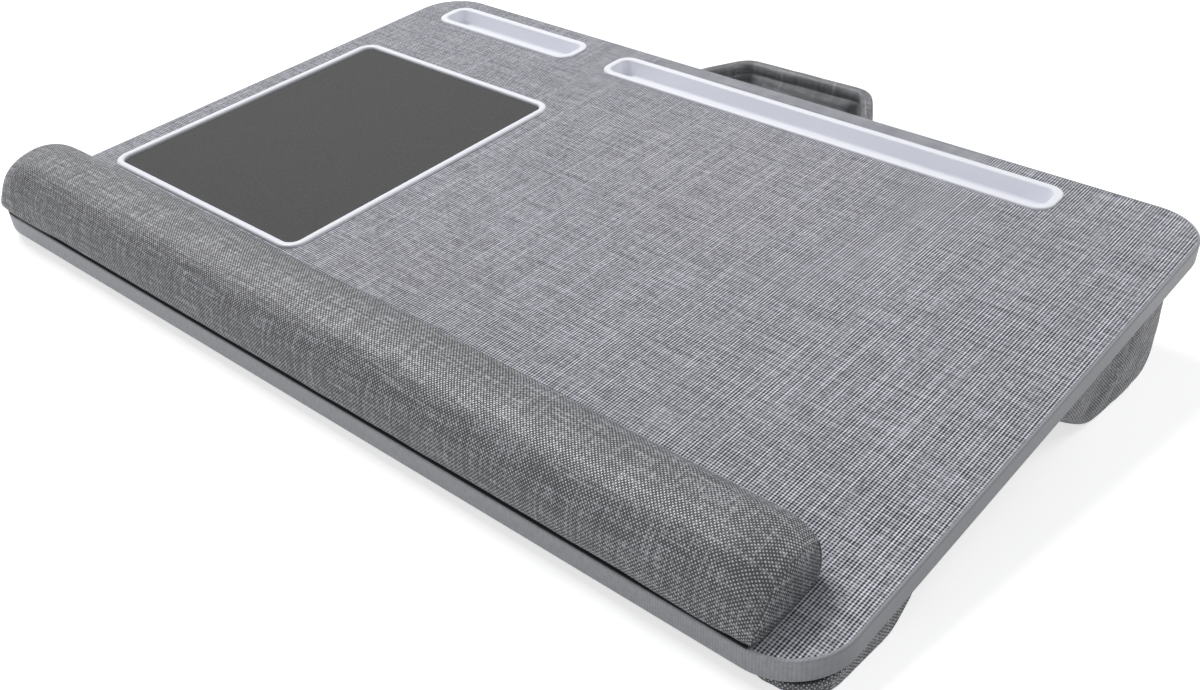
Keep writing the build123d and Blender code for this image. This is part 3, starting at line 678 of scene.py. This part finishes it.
# the tops of the pale yarn are smoother than the gaps between the threads
yarn_shine = add(tree, "ShaderNodeMapRange", None,
                 {"Value": dots.outputs[0], "To Min": 0.66, "To Max": 0.26})
humps = add(tree, "ShaderNodeMath", {"operation": "ABSOLUTE"}, {0: crossing.outputs[0]})
relief = add(tree, "ShaderNodeBump", None,
             {"Height": humps.outputs[0], "Strength": 0.8, "Distance": 0.00008})
tree.links.new(colour.outputs["Result"], shader.inputs["Base Color"])
tree.links.new(yarn_shine.outputs[0], shader.inputs["Roughness"])
tree.links.new(relief.outputs[0], shader.inputs["Normal"])

# the roll was stuck on by hand, and its left end reaches further towards the board's corner
rest_left_reach = 0.012
rest_half = rest_high.x + rest_left_reach / 2
rest_size = rest_high - rest_low
rest_stations = stations_along(rest_half, rest_end_run, rest_step, rest_end_steps)
rest_rings = []
for station in rest_stations:
    place = station - rest_left_reach / 2
    run = max(0.0, (abs(station) - (rest_half - rest_end_run)) / rest_end_run)
    change = run ** 3
    outline = [mixed(full, seam, change) for full, seam in rest_outline_shares]
    # the foam is a little uneven along the roll
    slump = 1 + rest_slump_share * noise.noise((place * rest_slumps_per_metre, 0.4, 0.0)) * (1 - change)
    lean = rest_lean * noise.noise((place * rest_leans_per_metre, 5.3, 0.0)) * (1 - change)
    loop = smooth_loop([(rest_low.y + a * rest_size.y, rest_low.z + b * rest_size.z) for a, b in outline],
                       rest_points)
    rest_rings.append([Vector((place, p.x + lean * (p.y - rest_low.z) / rest_size.z,
                               rest_low.z + (p.y - rest_low.z) * slump)) for p in loop])
rest_around = girth_along(rest_rings[len(rest_rings) // 2])
wrist_rest = closed_skin("wrist_rest_fabric", rest_rings, rest_stations, rest_around,
                         swell=rest_end_swell, material=melange, groove=rest_groove)

rest_count = len(rest_rings) * rest_points
rest_sewn = [index for index in range(rest_count)
             if index < rest_points or index >= rest_count - rest_points
             or rest_rings[index // rest_points][index % rest_points].z
             < rest_low.z + rest_stuck_height]
inflate(wrist_rest, rest_sewn, rest_pressure, rest_slack, rest_most_move)
refine(wrist_rest)
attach(wrist_rest, "tray")
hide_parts("wrist_rest_cover", "wrist_rest_end_left", "wrist_rest_end_right",
            "wrist_rest_foam")

# Black acrylic foam tape under the roll: dead matt, with the open 0.4 mm pores of its cut edge.
foam_pore = 0.0004
foam_tape, tree, shader = start_material("black_acrylic_foam_tape", 0.9, IOR=1.47)
at = in_tray_axes(tree)
pores = add(tree, "ShaderNodeTexVoronoi", {"feature": "F1"}, {"Vector": at, "Scale": 1 / foam_pore})
colour = add(tree, "ShaderNodeMix", {"data_type": "RGBA"},
             {"Factor": pores.outputs["Distance"], "A": linear("#0c0c0d"), "B": linear("#1d1d1f")})
tree.links.new(colour.outputs["Result"], shader.inputs["Base Color"])
dress("wrist_rest_tape", foam_tape)

# A strip in the tape's black, under the front of the roll's foot, is painted shade: it shows the shaded gap
# under the roll as a thin black line along its foot.
line_left = rest_low.x - 0.0025
line_right = rest_high.x - 0.002
line_front = 0.0007
line_back = 0.0024
line_top = rest_low.z - 0.0001
line_points = [(x, y, z) for z in (0.0, line_top)
               for x, y in ((line_left, line_front), (line_right, line_front),
                            (line_right, line_back), (line_left, line_back))]
line_mesh = bpy.data.meshes.new("wrist_rest_shade_line")
line_mesh.from_pydata(line_points, [], [(0, 3, 2, 1), (4, 5, 6, 7), (0, 1, 5, 4), (1, 2, 6, 5),
                                        (2, 3, 7, 6), (3, 0, 4, 7)])
shade_line = put_on_tray("wrist_rest_shade_line", line_mesh, foam_tape)
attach(shade_line, "tray")

# Stiff polypropylene strip inside the roll: milky, waxy sheet with faint calender lines, 1.4 mm apart.
calender_gap = 0.0014
calender_run = 0.125
stiff_sheet, tree, shader = start_material("milky_polypropylene_sheet", 0.4, IOR=1.49)
at = in_tray_axes(tree)
rolled = add(tree, "ShaderNodeMapping", None,
             {"Vector": at, "Scale": (1 / calender_run, 1 / calender_gap, 1 / calender_gap)})
lines = add(tree, "ShaderNodeTexNoise", None, {"Vector": rolled.outputs[0], "Scale": 1.0, "Detail": 2.0})
colour = add(tree, "ShaderNodeMix", {"data_type": "RGBA"},
             {"Factor": lines.outputs[0], "A": linear("#cfcfc9"), "B": linear("#dededa")})
tree.links.new(colour.outputs["Result"], shader.inputs["Base Color"])
dress("wrist_rest_strip", stiff_sheet)


# Cushion: a flat fabric panel held to the board by hook and loop tape, with a thin bolster under the
# front edge and a thick one behind, both filled with polystyrene beads. A gathered welt joins them.
panel_low, panel_high = tray_box("cushion_top_panel")
front_low, front_high = tray_box("front_bolster_cover")
back_low, back_high = tray_box("back_bolster_cover")
cushion_corner = 0.018
cushion_back_corner = 0.008
bolster_end_run = 0.048
bolster_step = 0.006
bolster_end_steps = 12
bolster_points = 72
back_bolster_corner = 0.004
front_bolster_corner = 0.016
front_bolster_proud = 0.0028
bolster_slump = 0.0012
table_gap = 0.0001
seam_depth = 0.0008
foot_height = 0.0004
level_table = tray_place.inverted()

# Woven hook and loop tape: black nylon with a short dense pile, in tufts of about 0.6 mm.
pile_tuft = 0.000625
closure, tree, shader = start_material("black_nylon_hook_and_loop", 0.85, IOR=1.53, Sheen_Weight=0.3)
at = in_tray_axes(tree)
pile = add(tree, "ShaderNodeTexNoise", None,
           {"Vector": at, "Scale": 1 / pile_tuft, "Detail": 3.0, "Roughness": 0.7})
colour = add(tree, "ShaderNodeMix", {"data_type": "RGBA"},
             {"Factor": pile.outputs[0], "A": linear("#0f0f11"), "B": linear("#2b2b2f")})
relief = add(tree, "ShaderNodeBump", None, {"Height": pile.outputs[0], "Strength": 0.7, "Distance": 0.0003})
tree.links.new(colour.outputs["Result"], shader.inputs["Base Color"])
tree.links.new(relief.outputs[0], shader.inputs["Normal"])
dress("hook_tape", closure)
dress("loop_tape", closure)


def table_under(y):
    """Height of the table under the tray at this y, in the tray's axes."""
    foot = level_table @ Vector((0, 0, 0))
    return foot.z - (y - foot.y) * math.tan(tilt)


def rest_on_table(ring, lift):
    """Points of a ring in the tray's axes, with none lower than the table plus a small lift."""
    return [Vector((p.x, p.y, max(p.z, table_under(p.y) + lift))) for p in ring]


# Outline of the back bolster: share of its depth from the front, and of the drop from the panel to the
# table at that place, from the middle of the foot round the back, the top and the front slope
back_outline_shares = (
    (0.64, 1.0), (0.78, 1.0), (0.90, 1.0), (0.965, 0.94), (0.995, 0.80), (1.0, 0.60), (1.0, 0.38),
    (1.0, 0.16), (0.992, 0.02), (0.96, 0.0), (0.80, 0.0), (0.60, 0.0), (0.40, 0.0), (0.20, 0.0),
    (0.04, 0.0), (0.005, 0.03), (0.03, 0.17), (0.11, 0.38), (0.20, 0.60), (0.29, 0.82),
    (0.38, 0.95), (0.50, 1.0))
# The same outline at the end seam, drawn in at the front and along the foot
back_seam_shares = (
    (0.64, 0.985), (0.77, 0.99), (0.89, 0.99), (0.96, 0.92), (0.99, 0.79), (0.995, 0.59), (0.995, 0.38),
    (0.995, 0.16), (0.988, 0.02), (0.955, 0.0), (0.80, 0.0), (0.60, 0.0), (0.40, 0.0), (0.21, 0.0),
    (0.05, 0.0), (0.02, 0.03), (0.045, 0.17), (0.125, 0.38), (0.21, 0.59), (0.30, 0.80),
    (0.39, 0.92), (0.50, 0.975))
front_outline_shares = (
    (0.36, 1.0), (0.50, 1.0), (0.62, 1.0), (0.72, 0.93), (0.82, 0.66), (0.91, 0.36), (0.985, 0.08),
    (0.97, 0.0), (0.85, 0.0), (0.65, 0.0), (0.45, 0.0), (0.25, 0.0), (0.08, 0.0), (0.02, 0.04),
    (0.0, 0.30), (0.012, 0.72), (0.04, 0.95), (0.11, 1.0), (0.22, 1.0))


def corner_inset(radius, past):
    """How far a rounded corner draws an edge in, this far past the corner's start."""
    return radius - math.sqrt(max(radius ** 2 - past ** 2, 0.0))


def bolster_rings(low, high, top, half, full_shares, seam_shares, corner):
    """Stations along a bolster and its rings of points, drawn in towards the end seams."""
    stations = stations_along(half, bolster_end_run, bolster_step, bolster_end_steps)
    rings = []
    for place in stations:
        run = max(0.0, (abs(place) - (half - bolster_end_run)) / bolster_end_run)
        change = run ** 2.5
        past = max(0.0, abs(place) - (half - corner))
        front = low.y + corner_inset(corner, past)
        depth = high.y - front
        slump = bolster_slump * noise.noise((place * 8, low.y * 40, 2.0))
        points = []
        for full, seam in zip(full_shares, seam_shares):
            a, b = mixed(full, seam, change)
            y = front + a * depth
            drop = top - table_under(y)
            points.append((y, top - b * drop + (slump if 0.2 < b < 0.9 else 0.0)))
        loop = smooth_loop(points, bolster_points)
        rings.append(rest_on_table([Vector((place, p.x, min(p.y, top))) for p in loop], table_gap))
    return stations, rings


def held_points(rings, top):
    """Indices of the points on the end seams, along the top panel and flat on the table."""
    count = len(rings[0])
    last = len(rings) - 1
    return [i * count + j for i, ring in enumerate(rings) for j, p in enumerate(ring)
            if i in (0, last) or p.z > top - seam_depth or p.z < table_under(p.y) + foot_height]


bolster_top = back_high.z
back_stations, back_rings = bolster_rings(back_low, back_high, bolster_top, back_high.x,
                                          back_outline_shares, back_seam_shares, back_bolster_corner)
back_around = girth_along(back_rings[len(back_rings) // 2])
back_bolster = closed_skin("back_bolster_fabric", back_rings, back_stations, back_around,
                           swell=0.003, material=melange, groove=0.0008)
front_half = front_high.x + front_bolster_proud
front_stations, front_rings = bolster_rings(front_low, front_high, bolster_top, front_half,
                                            front_outline_shares, front_outline_shares,
                                            front_bolster_corner)
front_around = girth_along(front_rings[len(front_rings) // 2])
front_bolster = closed_skin("front_bolster_fabric", front_rings, front_stations, front_around,
                            swell=0.0022, material=melange)
inflate(back_bolster, held_points(back_rings, bolster_top), pressure=3.0, slack=0.006,
        most_move=0.0014)
inflate(front_bolster, held_points(front_rings, bolster_top), pressure=2.0, slack=0.005,
        most_move=0.0008)
for piece in (back_bolster, front_bolster):
    refine(piece)
    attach(piece, "tray")
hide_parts("back_bolster_cover", "back_bolster_end_left", "back_bolster_end_right",
            "back_bolster_filling")
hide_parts("front_bolster_cover", "front_bolster_filling")

# Top panel of the cushion: one flat piece of the same fabric, doubled and hemmed. It is held stretched by
# the tape and the bolsters, and sags a little between them.
panel_gap = 0.0001
panel_thickness = panel_high.z - panel_low.z - panel_gap
panel_sag = 0.0022
panel_ripple = 0.0006
panel_step = 0.006
panel_half = panel_high.x
panel_columns = round(2 * panel_half / panel_step)
panel_rows = round((panel_high.y - panel_low.y) / panel_step)
panel_points = []
panel_threads = []
for row in range(panel_rows + 1):
    share = row / panel_rows
    y = panel_low.y + (panel_high.y - panel_low.y) * share
    into_front = max(0.0, panel_low.y + cushion_corner - y)
    into_back = max(0.0, y - (panel_high.y - cushion_back_corner))
    inset = corner_inset(cushion_corner, into_front) + corner_inset(cushion_back_corner, into_back)
    half = panel_half - inset
    between = (y - front_high.y) / (back_low.y - front_high.y)
    free = math.sin(math.pi * between) if 0 < between < 1 else 0.0
    for column in range(panel_columns + 1):
        x = half * (2 * column / panel_columns - 1)
        ripple = panel_ripple * noise.noise((x * 12, y * 16, 7.0)) * free
        panel_points.append(Vector((x, y, panel_high.z - panel_gap - panel_sag * free + ripple)))
        panel_threads.append((x, y))
panel_faces = []
for row in range(panel_rows):
    for column in range(panel_columns):
        corner = row * (panel_columns + 1) + column
        panel_faces.append((corner, corner + 1, corner + panel_columns + 2, corner + panel_columns + 1))
panel_mesh = bpy.data.meshes.new("cushion_panel_fabric")
panel_mesh.from_pydata(panel_points, [], panel_faces)
panel_layer = panel_mesh.uv_layers.new(name="threads")
for loop in panel_mesh.loops:
    panel_layer.uv[loop.index].vector = panel_threads[loop.vertex_index]
for polygon in panel_mesh.polygons:
    polygon.use_smooth = True
cushion_panel = put_on_tray("cushion_panel_fabric", panel_mesh, melange)
doubled = cushion_panel.modifiers.new("doubled", "SOLIDIFY")
doubled.thickness = panel_thickness
doubled.offset = -1.0
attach(cushion_panel, "tray")
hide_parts("cushion_top_panel")

# Welt: a gathered strip sewn in round the cushion's upper edge, between the panel and the bolsters.
welt_radius = 0.0019
welt_step = 0.0024
welt_sides = 8
welt_drop = 0.0002
welt_front_reach = 0.085
welt_front_fade = 0.02


def clamped(value):
    """The value, kept between 0 and 1."""
    return min(1.0, max(0.0, value))


def cushion_edge(step):
    """Points round the cushion's edge, counter-clockwise from the middle of its back."""
    corners = ((-1, "back", 90), (-1, "front", 180), (1, "front", 270), (1, "back", 0))
    places = [Vector((0, panel_high.y))]
    for side, end, start in corners:
        radius = cushion_corner if end == "front" else cushion_back_corner
        centre = Vector((side * (panel_half - radius),
                         panel_low.y + radius if end == "front" else panel_high.y - radius))
        for degrees in range(start, start + 91, 9):
            turn = math.radians(degrees)
            places.append(centre + radius * Vector((math.cos(turn), math.sin(turn))))
    places.append(Vector((0, panel_high.y)))
    points = []
    for begin, end in zip(places, places[1:]):
        pieces = max(1, round((end - begin).length / step))
        points += [begin.lerp(end, index / pieces) for index in range(pieces)]
    points.append(places[-1])
    return points


welt_path = cushion_edge(welt_step)
welt_rings = []
for index, point in enumerate(welt_path):
    before = welt_path[max(index - 1, 0)]
    after = welt_path[min(index + 1, len(welt_path) - 1)]
    heading = (after - before).normalized()
    outward = Vector((heading.y, -heading.x))
    gather = 1 + 0.2 * math.sin(index * 2.1) + 0.12 * noise.noise((index * 0.7, 0.0, 0.0))
    # it stands out further along the front of the sides, where the front bolster is proud
    at_front = clamped((welt_front_reach - point.y) / welt_front_fade)
    proud = 0.8 * abs(outward.x) * at_front - 0.3 * abs(outward.y)
    ring = []
    for side in range(welt_sides):
        turn = 2 * math.pi * side / welt_sides
        across = outward * (math.cos(turn) * welt_radius * gather + welt_radius * proud)
        ring.append(Vector((point.x + across.x, point.y + across.y,
                            bolster_top - welt_drop + math.sin(turn) * welt_radius * 1.25 * gather)))
    welt_rings.append(ring)
welt = closed_skin("cushion_welt", welt_rings, reach_along(welt_path), girth_along(welt_rings[0]),
                   swell=0.0002, material=melange)
refine(welt)
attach(welt, "tray")


# Carry handle: a foam-filled band of the same fabric, stood on edge behind the tray, with a corded roll
# along its top and a row of stitches under it. Its ends are sewn under two tabs on the back bolster.
strap_low, strap_high = tray_box("handle_cover")
_, tab_high = tray_box("handle_tab_right")
strap_roll = 0.0044
strap_step = 0.003
strap_half_width = 0.047
strap_bend = 0.009
strap_splay = math.radians(32.5)
strap_lean = 0.0026
strap_flare = 0.007
strap_flare_start_share = 0.25
strap_flare_run_share = 0.45
strap_lift = 0.0025
strap_tip = 0.02
strap_pinch_run = 0.016
strap_pinch_share = 0.55
strap_middle_fade = 0.014
strap_rise_start = 0.002
strap_rise_run = 0.028
strap_crumple = 0.0005
strap_crumple_run = 0.01
strap_wander = 0.0006
strap_foot_wave = 0.02
strap_points = 56
strap_far = strap_high.y - strap_roll
strap_root = tab_high.y + 0.0001
strap_height = strap_high.z - strap_low.z
band_depth = band_high.y - band_low.y

# Half outline of the strap: share of its height from the top, and half thickness
strap_half_outline = ((1.0, 0.0), (0.985, 0.0021), (0.93, 0.0032), (0.78, 0.0038), (0.58, 0.0040),
                      (0.34, 0.0043), (0.275, 0.0040), (0.248, 0.0030), (0.222, 0.0039), (0.14, 0.0044),
                      (0.05, 0.0033), (0.01, 0.0016), (0.0, 0.0))
strap_outline = list(strap_half_outline)
strap_outline += [(share, -half) for share, half in reversed(strap_half_outline[1:-1])]


def strap_route(step):
    """Points along the strap's middle and the strap's outward direction there, from left root to right."""
    root_x = strap_half_width + (strap_far - strap_root) * math.tan(strap_splay)
    turn = math.pi / 2 - strap_splay
    tangent = strap_bend * math.tan(turn / 2)
    leg = Vector((root_x - strap_half_width, strap_root - strap_far))
    leg_length = leg.length - tangent
    straight = 2 * (strap_half_width - tangent)
    arc = strap_bend * turn
    total = 2 * leg_length + 2 * arc + straight
    count = round(total / step)
    route = []
    for index in range(count + 1):
        reach = total * index / count
        side = -1 if reach < total / 2 else 1
        near = min(reach, total - reach)
        if near < leg_length:
            share = near / leg.length
            place = Vector((root_x - leg.length * share * math.sin(strap_splay),
                            strap_root + leg.length * share * math.cos(strap_splay)))
            normal = Vector((math.cos(strap_splay), math.sin(strap_splay)))
        elif near < leg_length + arc:
            centre = Vector((strap_half_width - tangent, strap_far - strap_bend))
            angle = strap_splay + (near - leg_length) / strap_bend
            normal = Vector((math.cos(angle), math.sin(angle)))
            place = centre + normal * strap_bend
        else:
            place = Vector((strap_half_width - tangent - (near - leg_length - arc), strap_far))
            normal = Vector((0, 1))
        route.append((Vector((side * place.x, place.y)), Vector((side * normal.x, normal.y)), reach))
    return route, total


def eased(value):
    """0 below 0, 1 above 1, and a smooth rise between them."""
    share = clamped(value)
    return share * share * (3 - 2 * share)


def strap_middle(place):
    """1 between the strap's bends and 0 along its legs."""
    return eased((strap_half_width - abs(place.x)) / strap_middle_fade)


def strap_rise(place):
    """0 where the strap starts under the board, and 1 from 30 mm behind the board's back edge."""
    return eased((place.y - band_depth - strap_rise_start) / strap_rise_run)


def strap_squeeze(near):
    """How much of its thickness the strap keeps this near to its sewn end."""
    return strap_pinch_share + (1 - strap_pinch_share) * clamped(near / strap_pinch_run)


def strap_sway(reach):
    """How far the strap sways sideways along its length."""
    return strap_wander * noise.noise((reach * 30, 1.0, 0.0))


strap_path, strap_length = strap_route(strap_step)
strap_rings = []
for place, normal, reach in strap_path:
    near = min(reach, strap_length - reach)
    ring = []
    for share, half in smooth_loop(strap_outline, strap_points):
        crumple = strap_crumple * noise.noise((reach * 60, share * 3, 4.0))
        offset = half * strap_squeeze(near) + strap_sway(reach)
        offset += crumple * clamped(near / strap_crumple_run)
        offset += strap_lean * (1 - share) * strap_rise(place)
        if half < 0:
            below = clamped((share - strap_flare_start_share) / strap_flare_run_share)
            offset -= strap_flare * math.sin(math.pi / 2 * below) * strap_middle(place)
        drop = share * strap_height * (1 - strap_foot_wave * noise.noise((reach * 22, 9.0, 0.0)) * share)
        top = strap_high.z + (strap_lift + strap_tip * place.x) * strap_rise(place) * (1 - share)
        ring.append(Vector((place.x + normal.x * offset, place.y + normal.y * offset, top - drop)))
    strap_rings.append(ring)
strap_along = [reach for _, _, reach in strap_path]
strap_around = girth_along(strap_rings[len(strap_rings) // 2])
strap = closed_skin("handle_fabric", strap_rings, strap_along, strap_around,
                    swell=0.0003, material=melange)
refine(strap)
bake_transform(strap)
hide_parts("handle_cover", "handle_pad", "handle_cord")

# Tabs: folded fabric, edges turned in, sewn flat on the back bolster over the strap's ends.
tab_corner = 0.003


def sewn_tab(name, low, high):
    """A folded tab with a soft rounded edge."""
    columns, rows = 24, 16
    size = high - low
    rings = []
    for level, inset in ((0.0, 0.0006), (0.35, 0.0), (0.7, 0.0002), (0.92, 0.0008), (1.0, 0.0018)):
        ring = []
        for index in range(2 * (columns + rows)):
            if index < columns:
                a, b = index / columns, 0.0
            elif index < columns + rows:
                a, b = 1.0, (index - columns) / rows
            elif index < 2 * columns + rows:
                a, b = 1 - (index - columns - rows) / columns, 1.0
            else:
                a, b = 0.0, 1 - (index - 2 * columns - rows) / rows
            x = low.x + inset + a * (size.x - 2 * inset)
            z = low.z + inset + b * (size.z - 2 * inset)
            over_x = max(low.x + tab_corner - x, x - high.x + tab_corner, 0.0)
            over_z = max(low.z + tab_corner - z, z - high.z + tab_corner, 0.0)
            reach = math.hypot(over_x, over_z)
            if over_x > 0 and over_z > 0 and reach > tab_corner:
                x += math.copysign(over_x * (1 - tab_corner / reach), low.x + size.x / 2 - x)
                z += math.copysign(over_z * (1 - tab_corner / reach), low.z + size.z / 2 - z)
            ring.append(Vector((x, low.y + level * size.y, z)))
        rings.append(ring)
    piece = closed_skin(name, rings, range(len(rings)), girth_along(rings[1]),
                        swell=0.0001, material=melange)
    # the tab's threads run straight across it instead of round its rings
    layer = piece.data.uv_layers["threads"]
    level_points = [level_table @ vertex.co for vertex in piece.data.vertices]
    for loop in piece.data.loops:
        layer.uv[loop.index].vector = (level_points[loop.vertex_index].x, level_points[loop.vertex_index].z)
    return piece


for side in ("left", "right"):
    low, high = tray_box(f"handle_tab_{side}")
    tab = sewn_tab(f"handle_tab_{side}_fabric", low, high)
    refine(tab)
    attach(tab, "tray")
    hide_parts(f"handle_tab_{side}")


# Sewing thread: grey polyester twisted to a good half millimetre, in lock stitches 2.6 mm long. One row
# runs along each face of the handle, just over a quarter of its height down, and one round each tab.
thread_radius = 0.00028
stitch_length = 0.0026
stitch_gap = 0.0009
stitch_share = 0.28
stitch_stand_off = 0.0028
thread_sides = 6
tab_stitch_margin = 0.0035
tab_stitch_points = 8
thread_twist = 0.0011

# Rings of a stitch: share of its length, share of the thread's radius, and rise off the fabric in radii
stitch_rings = ((0.0, 0.5, -1.0), (0.14, 0.95, 0.25), (0.5, 1.0, 0.55), (0.86, 0.95, 0.25),
                (1.0, 0.5, -1.0))

thread_finish, tree, shader = start_material("twisted_polyester_thread", 0.5, IOR=1.5, Sheen_Weight=0.2)
at = in_tray_axes(tree)
twist = add(tree, "ShaderNodeTexWave", {"wave_type": "BANDS", "bands_direction": "DIAGONAL"},
            {"Vector": at, "Scale": 1 / thread_twist, "Distortion": 1.0})
colour = add(tree, "ShaderNodeMix", {"data_type": "RGBA"},
             {"Factor": twist.outputs["Fac"], "A": linear("#77787e"), "B": linear("#a9aab0")})
tree.links.new(colour.outputs["Result"], shader.inputs["Base Color"])


def stitches(name, path, outwards):
    """A row of stitches along a path of points, each dipping into the fabric at its ends."""
    reach = reach_along(path)

    def at_reach(wanted):
        place = max(i for i, r in enumerate(reach[:-1]) if r <= wanted)
        share = (wanted - reach[place]) / (reach[place + 1] - reach[place])
        return path[place].lerp(path[place + 1], share), outwards[place].lerp(outwards[place + 1], share)

    points = []
    faces = []
    begin = stitch_gap / 2
    while begin + stitch_length < reach[-1]:
        base = len(points)
        for share, size, rise in stitch_rings:
            centre, outward = at_reach(begin + share * stitch_length)
            ahead, _ = at_reach(min(begin + (share + 0.05) * stitch_length, reach[-1] - 1e-7))
            heading = (ahead - centre).normalized()
            sideways = heading.cross(outward).normalized()
            for side in range(thread_sides):
                turn = 2 * math.pi * side / thread_sides
                points.append(centre + outward * (thread_radius * (rise + size * math.sin(turn)))
                              + sideways * (thread_radius * size * math.cos(turn)))
        last = len(points) - thread_sides
        for start in range(base, last, thread_sides):
            for side in range(thread_sides):
                after = (side + 1) % thread_sides
                faces.append((start + side, start + after,
                              start + thread_sides + after, start + thread_sides + side))
        faces.append(tuple(base + side for side in range(thread_sides)))
        faces.append(tuple(last + side for side in reversed(range(thread_sides))))
        begin += stitch_length + stitch_gap
    mesh = bpy.data.meshes.new(name)
    mesh.from_pydata(points, [], faces)
    turn_outward(mesh)
    for polygon in mesh.polygons:
        polygon.use_smooth = True
    piece = put_on_tray(name, mesh, thread_finish)
    return piece


for name, face in (("handle_stitches_outside", 1), ("handle_stitches_inside", -1)):
    path = []
    outwards = []
    for place, normal, reach in strap_path:
        near = min(reach, strap_length - reach)
        raised = (1 - stitch_share) * strap_rise(place)
        offset = face * stitch_stand_off * strap_squeeze(near) + strap_sway(reach) + strap_lean * raised
        top = strap_high.z + (strap_lift + strap_tip * place.x) * raised
        path.append(Vector((place.x + normal.x * offset, place.y + normal.y * offset,
                            top - stitch_share * strap_height)))
        outwards.append(Vector((normal.x * face, normal.y * face, 0.0)))
    row = stitches(name, path, outwards)
    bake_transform(row)

for side in ("left", "right"):
    low, high = tray_box(f"handle_tab_{side}")
    left, right = low.x + tab_stitch_margin, high.x - tab_stitch_margin
    foot, head = low.z + tab_stitch_margin, high.z - tab_stitch_margin
    corners = [Vector((x, high.y, z)) for x, z in ((left, foot), (right, foot), (right, head),
                                                   (left, head), (left, foot))]
    path = []
    for start, end in zip(corners, corners[1:]):
        path += [start.lerp(end, index / tab_stitch_points) for index in range(tab_stitch_points)]
    path.append(corners[-1])
    row = stitches(f"handle_tab_{side}_stitches", path, [Vector((0, 1, 0))] * len(path))
    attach(row, "tray")

# The box round every piece that is shown, without the floor.
low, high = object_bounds()
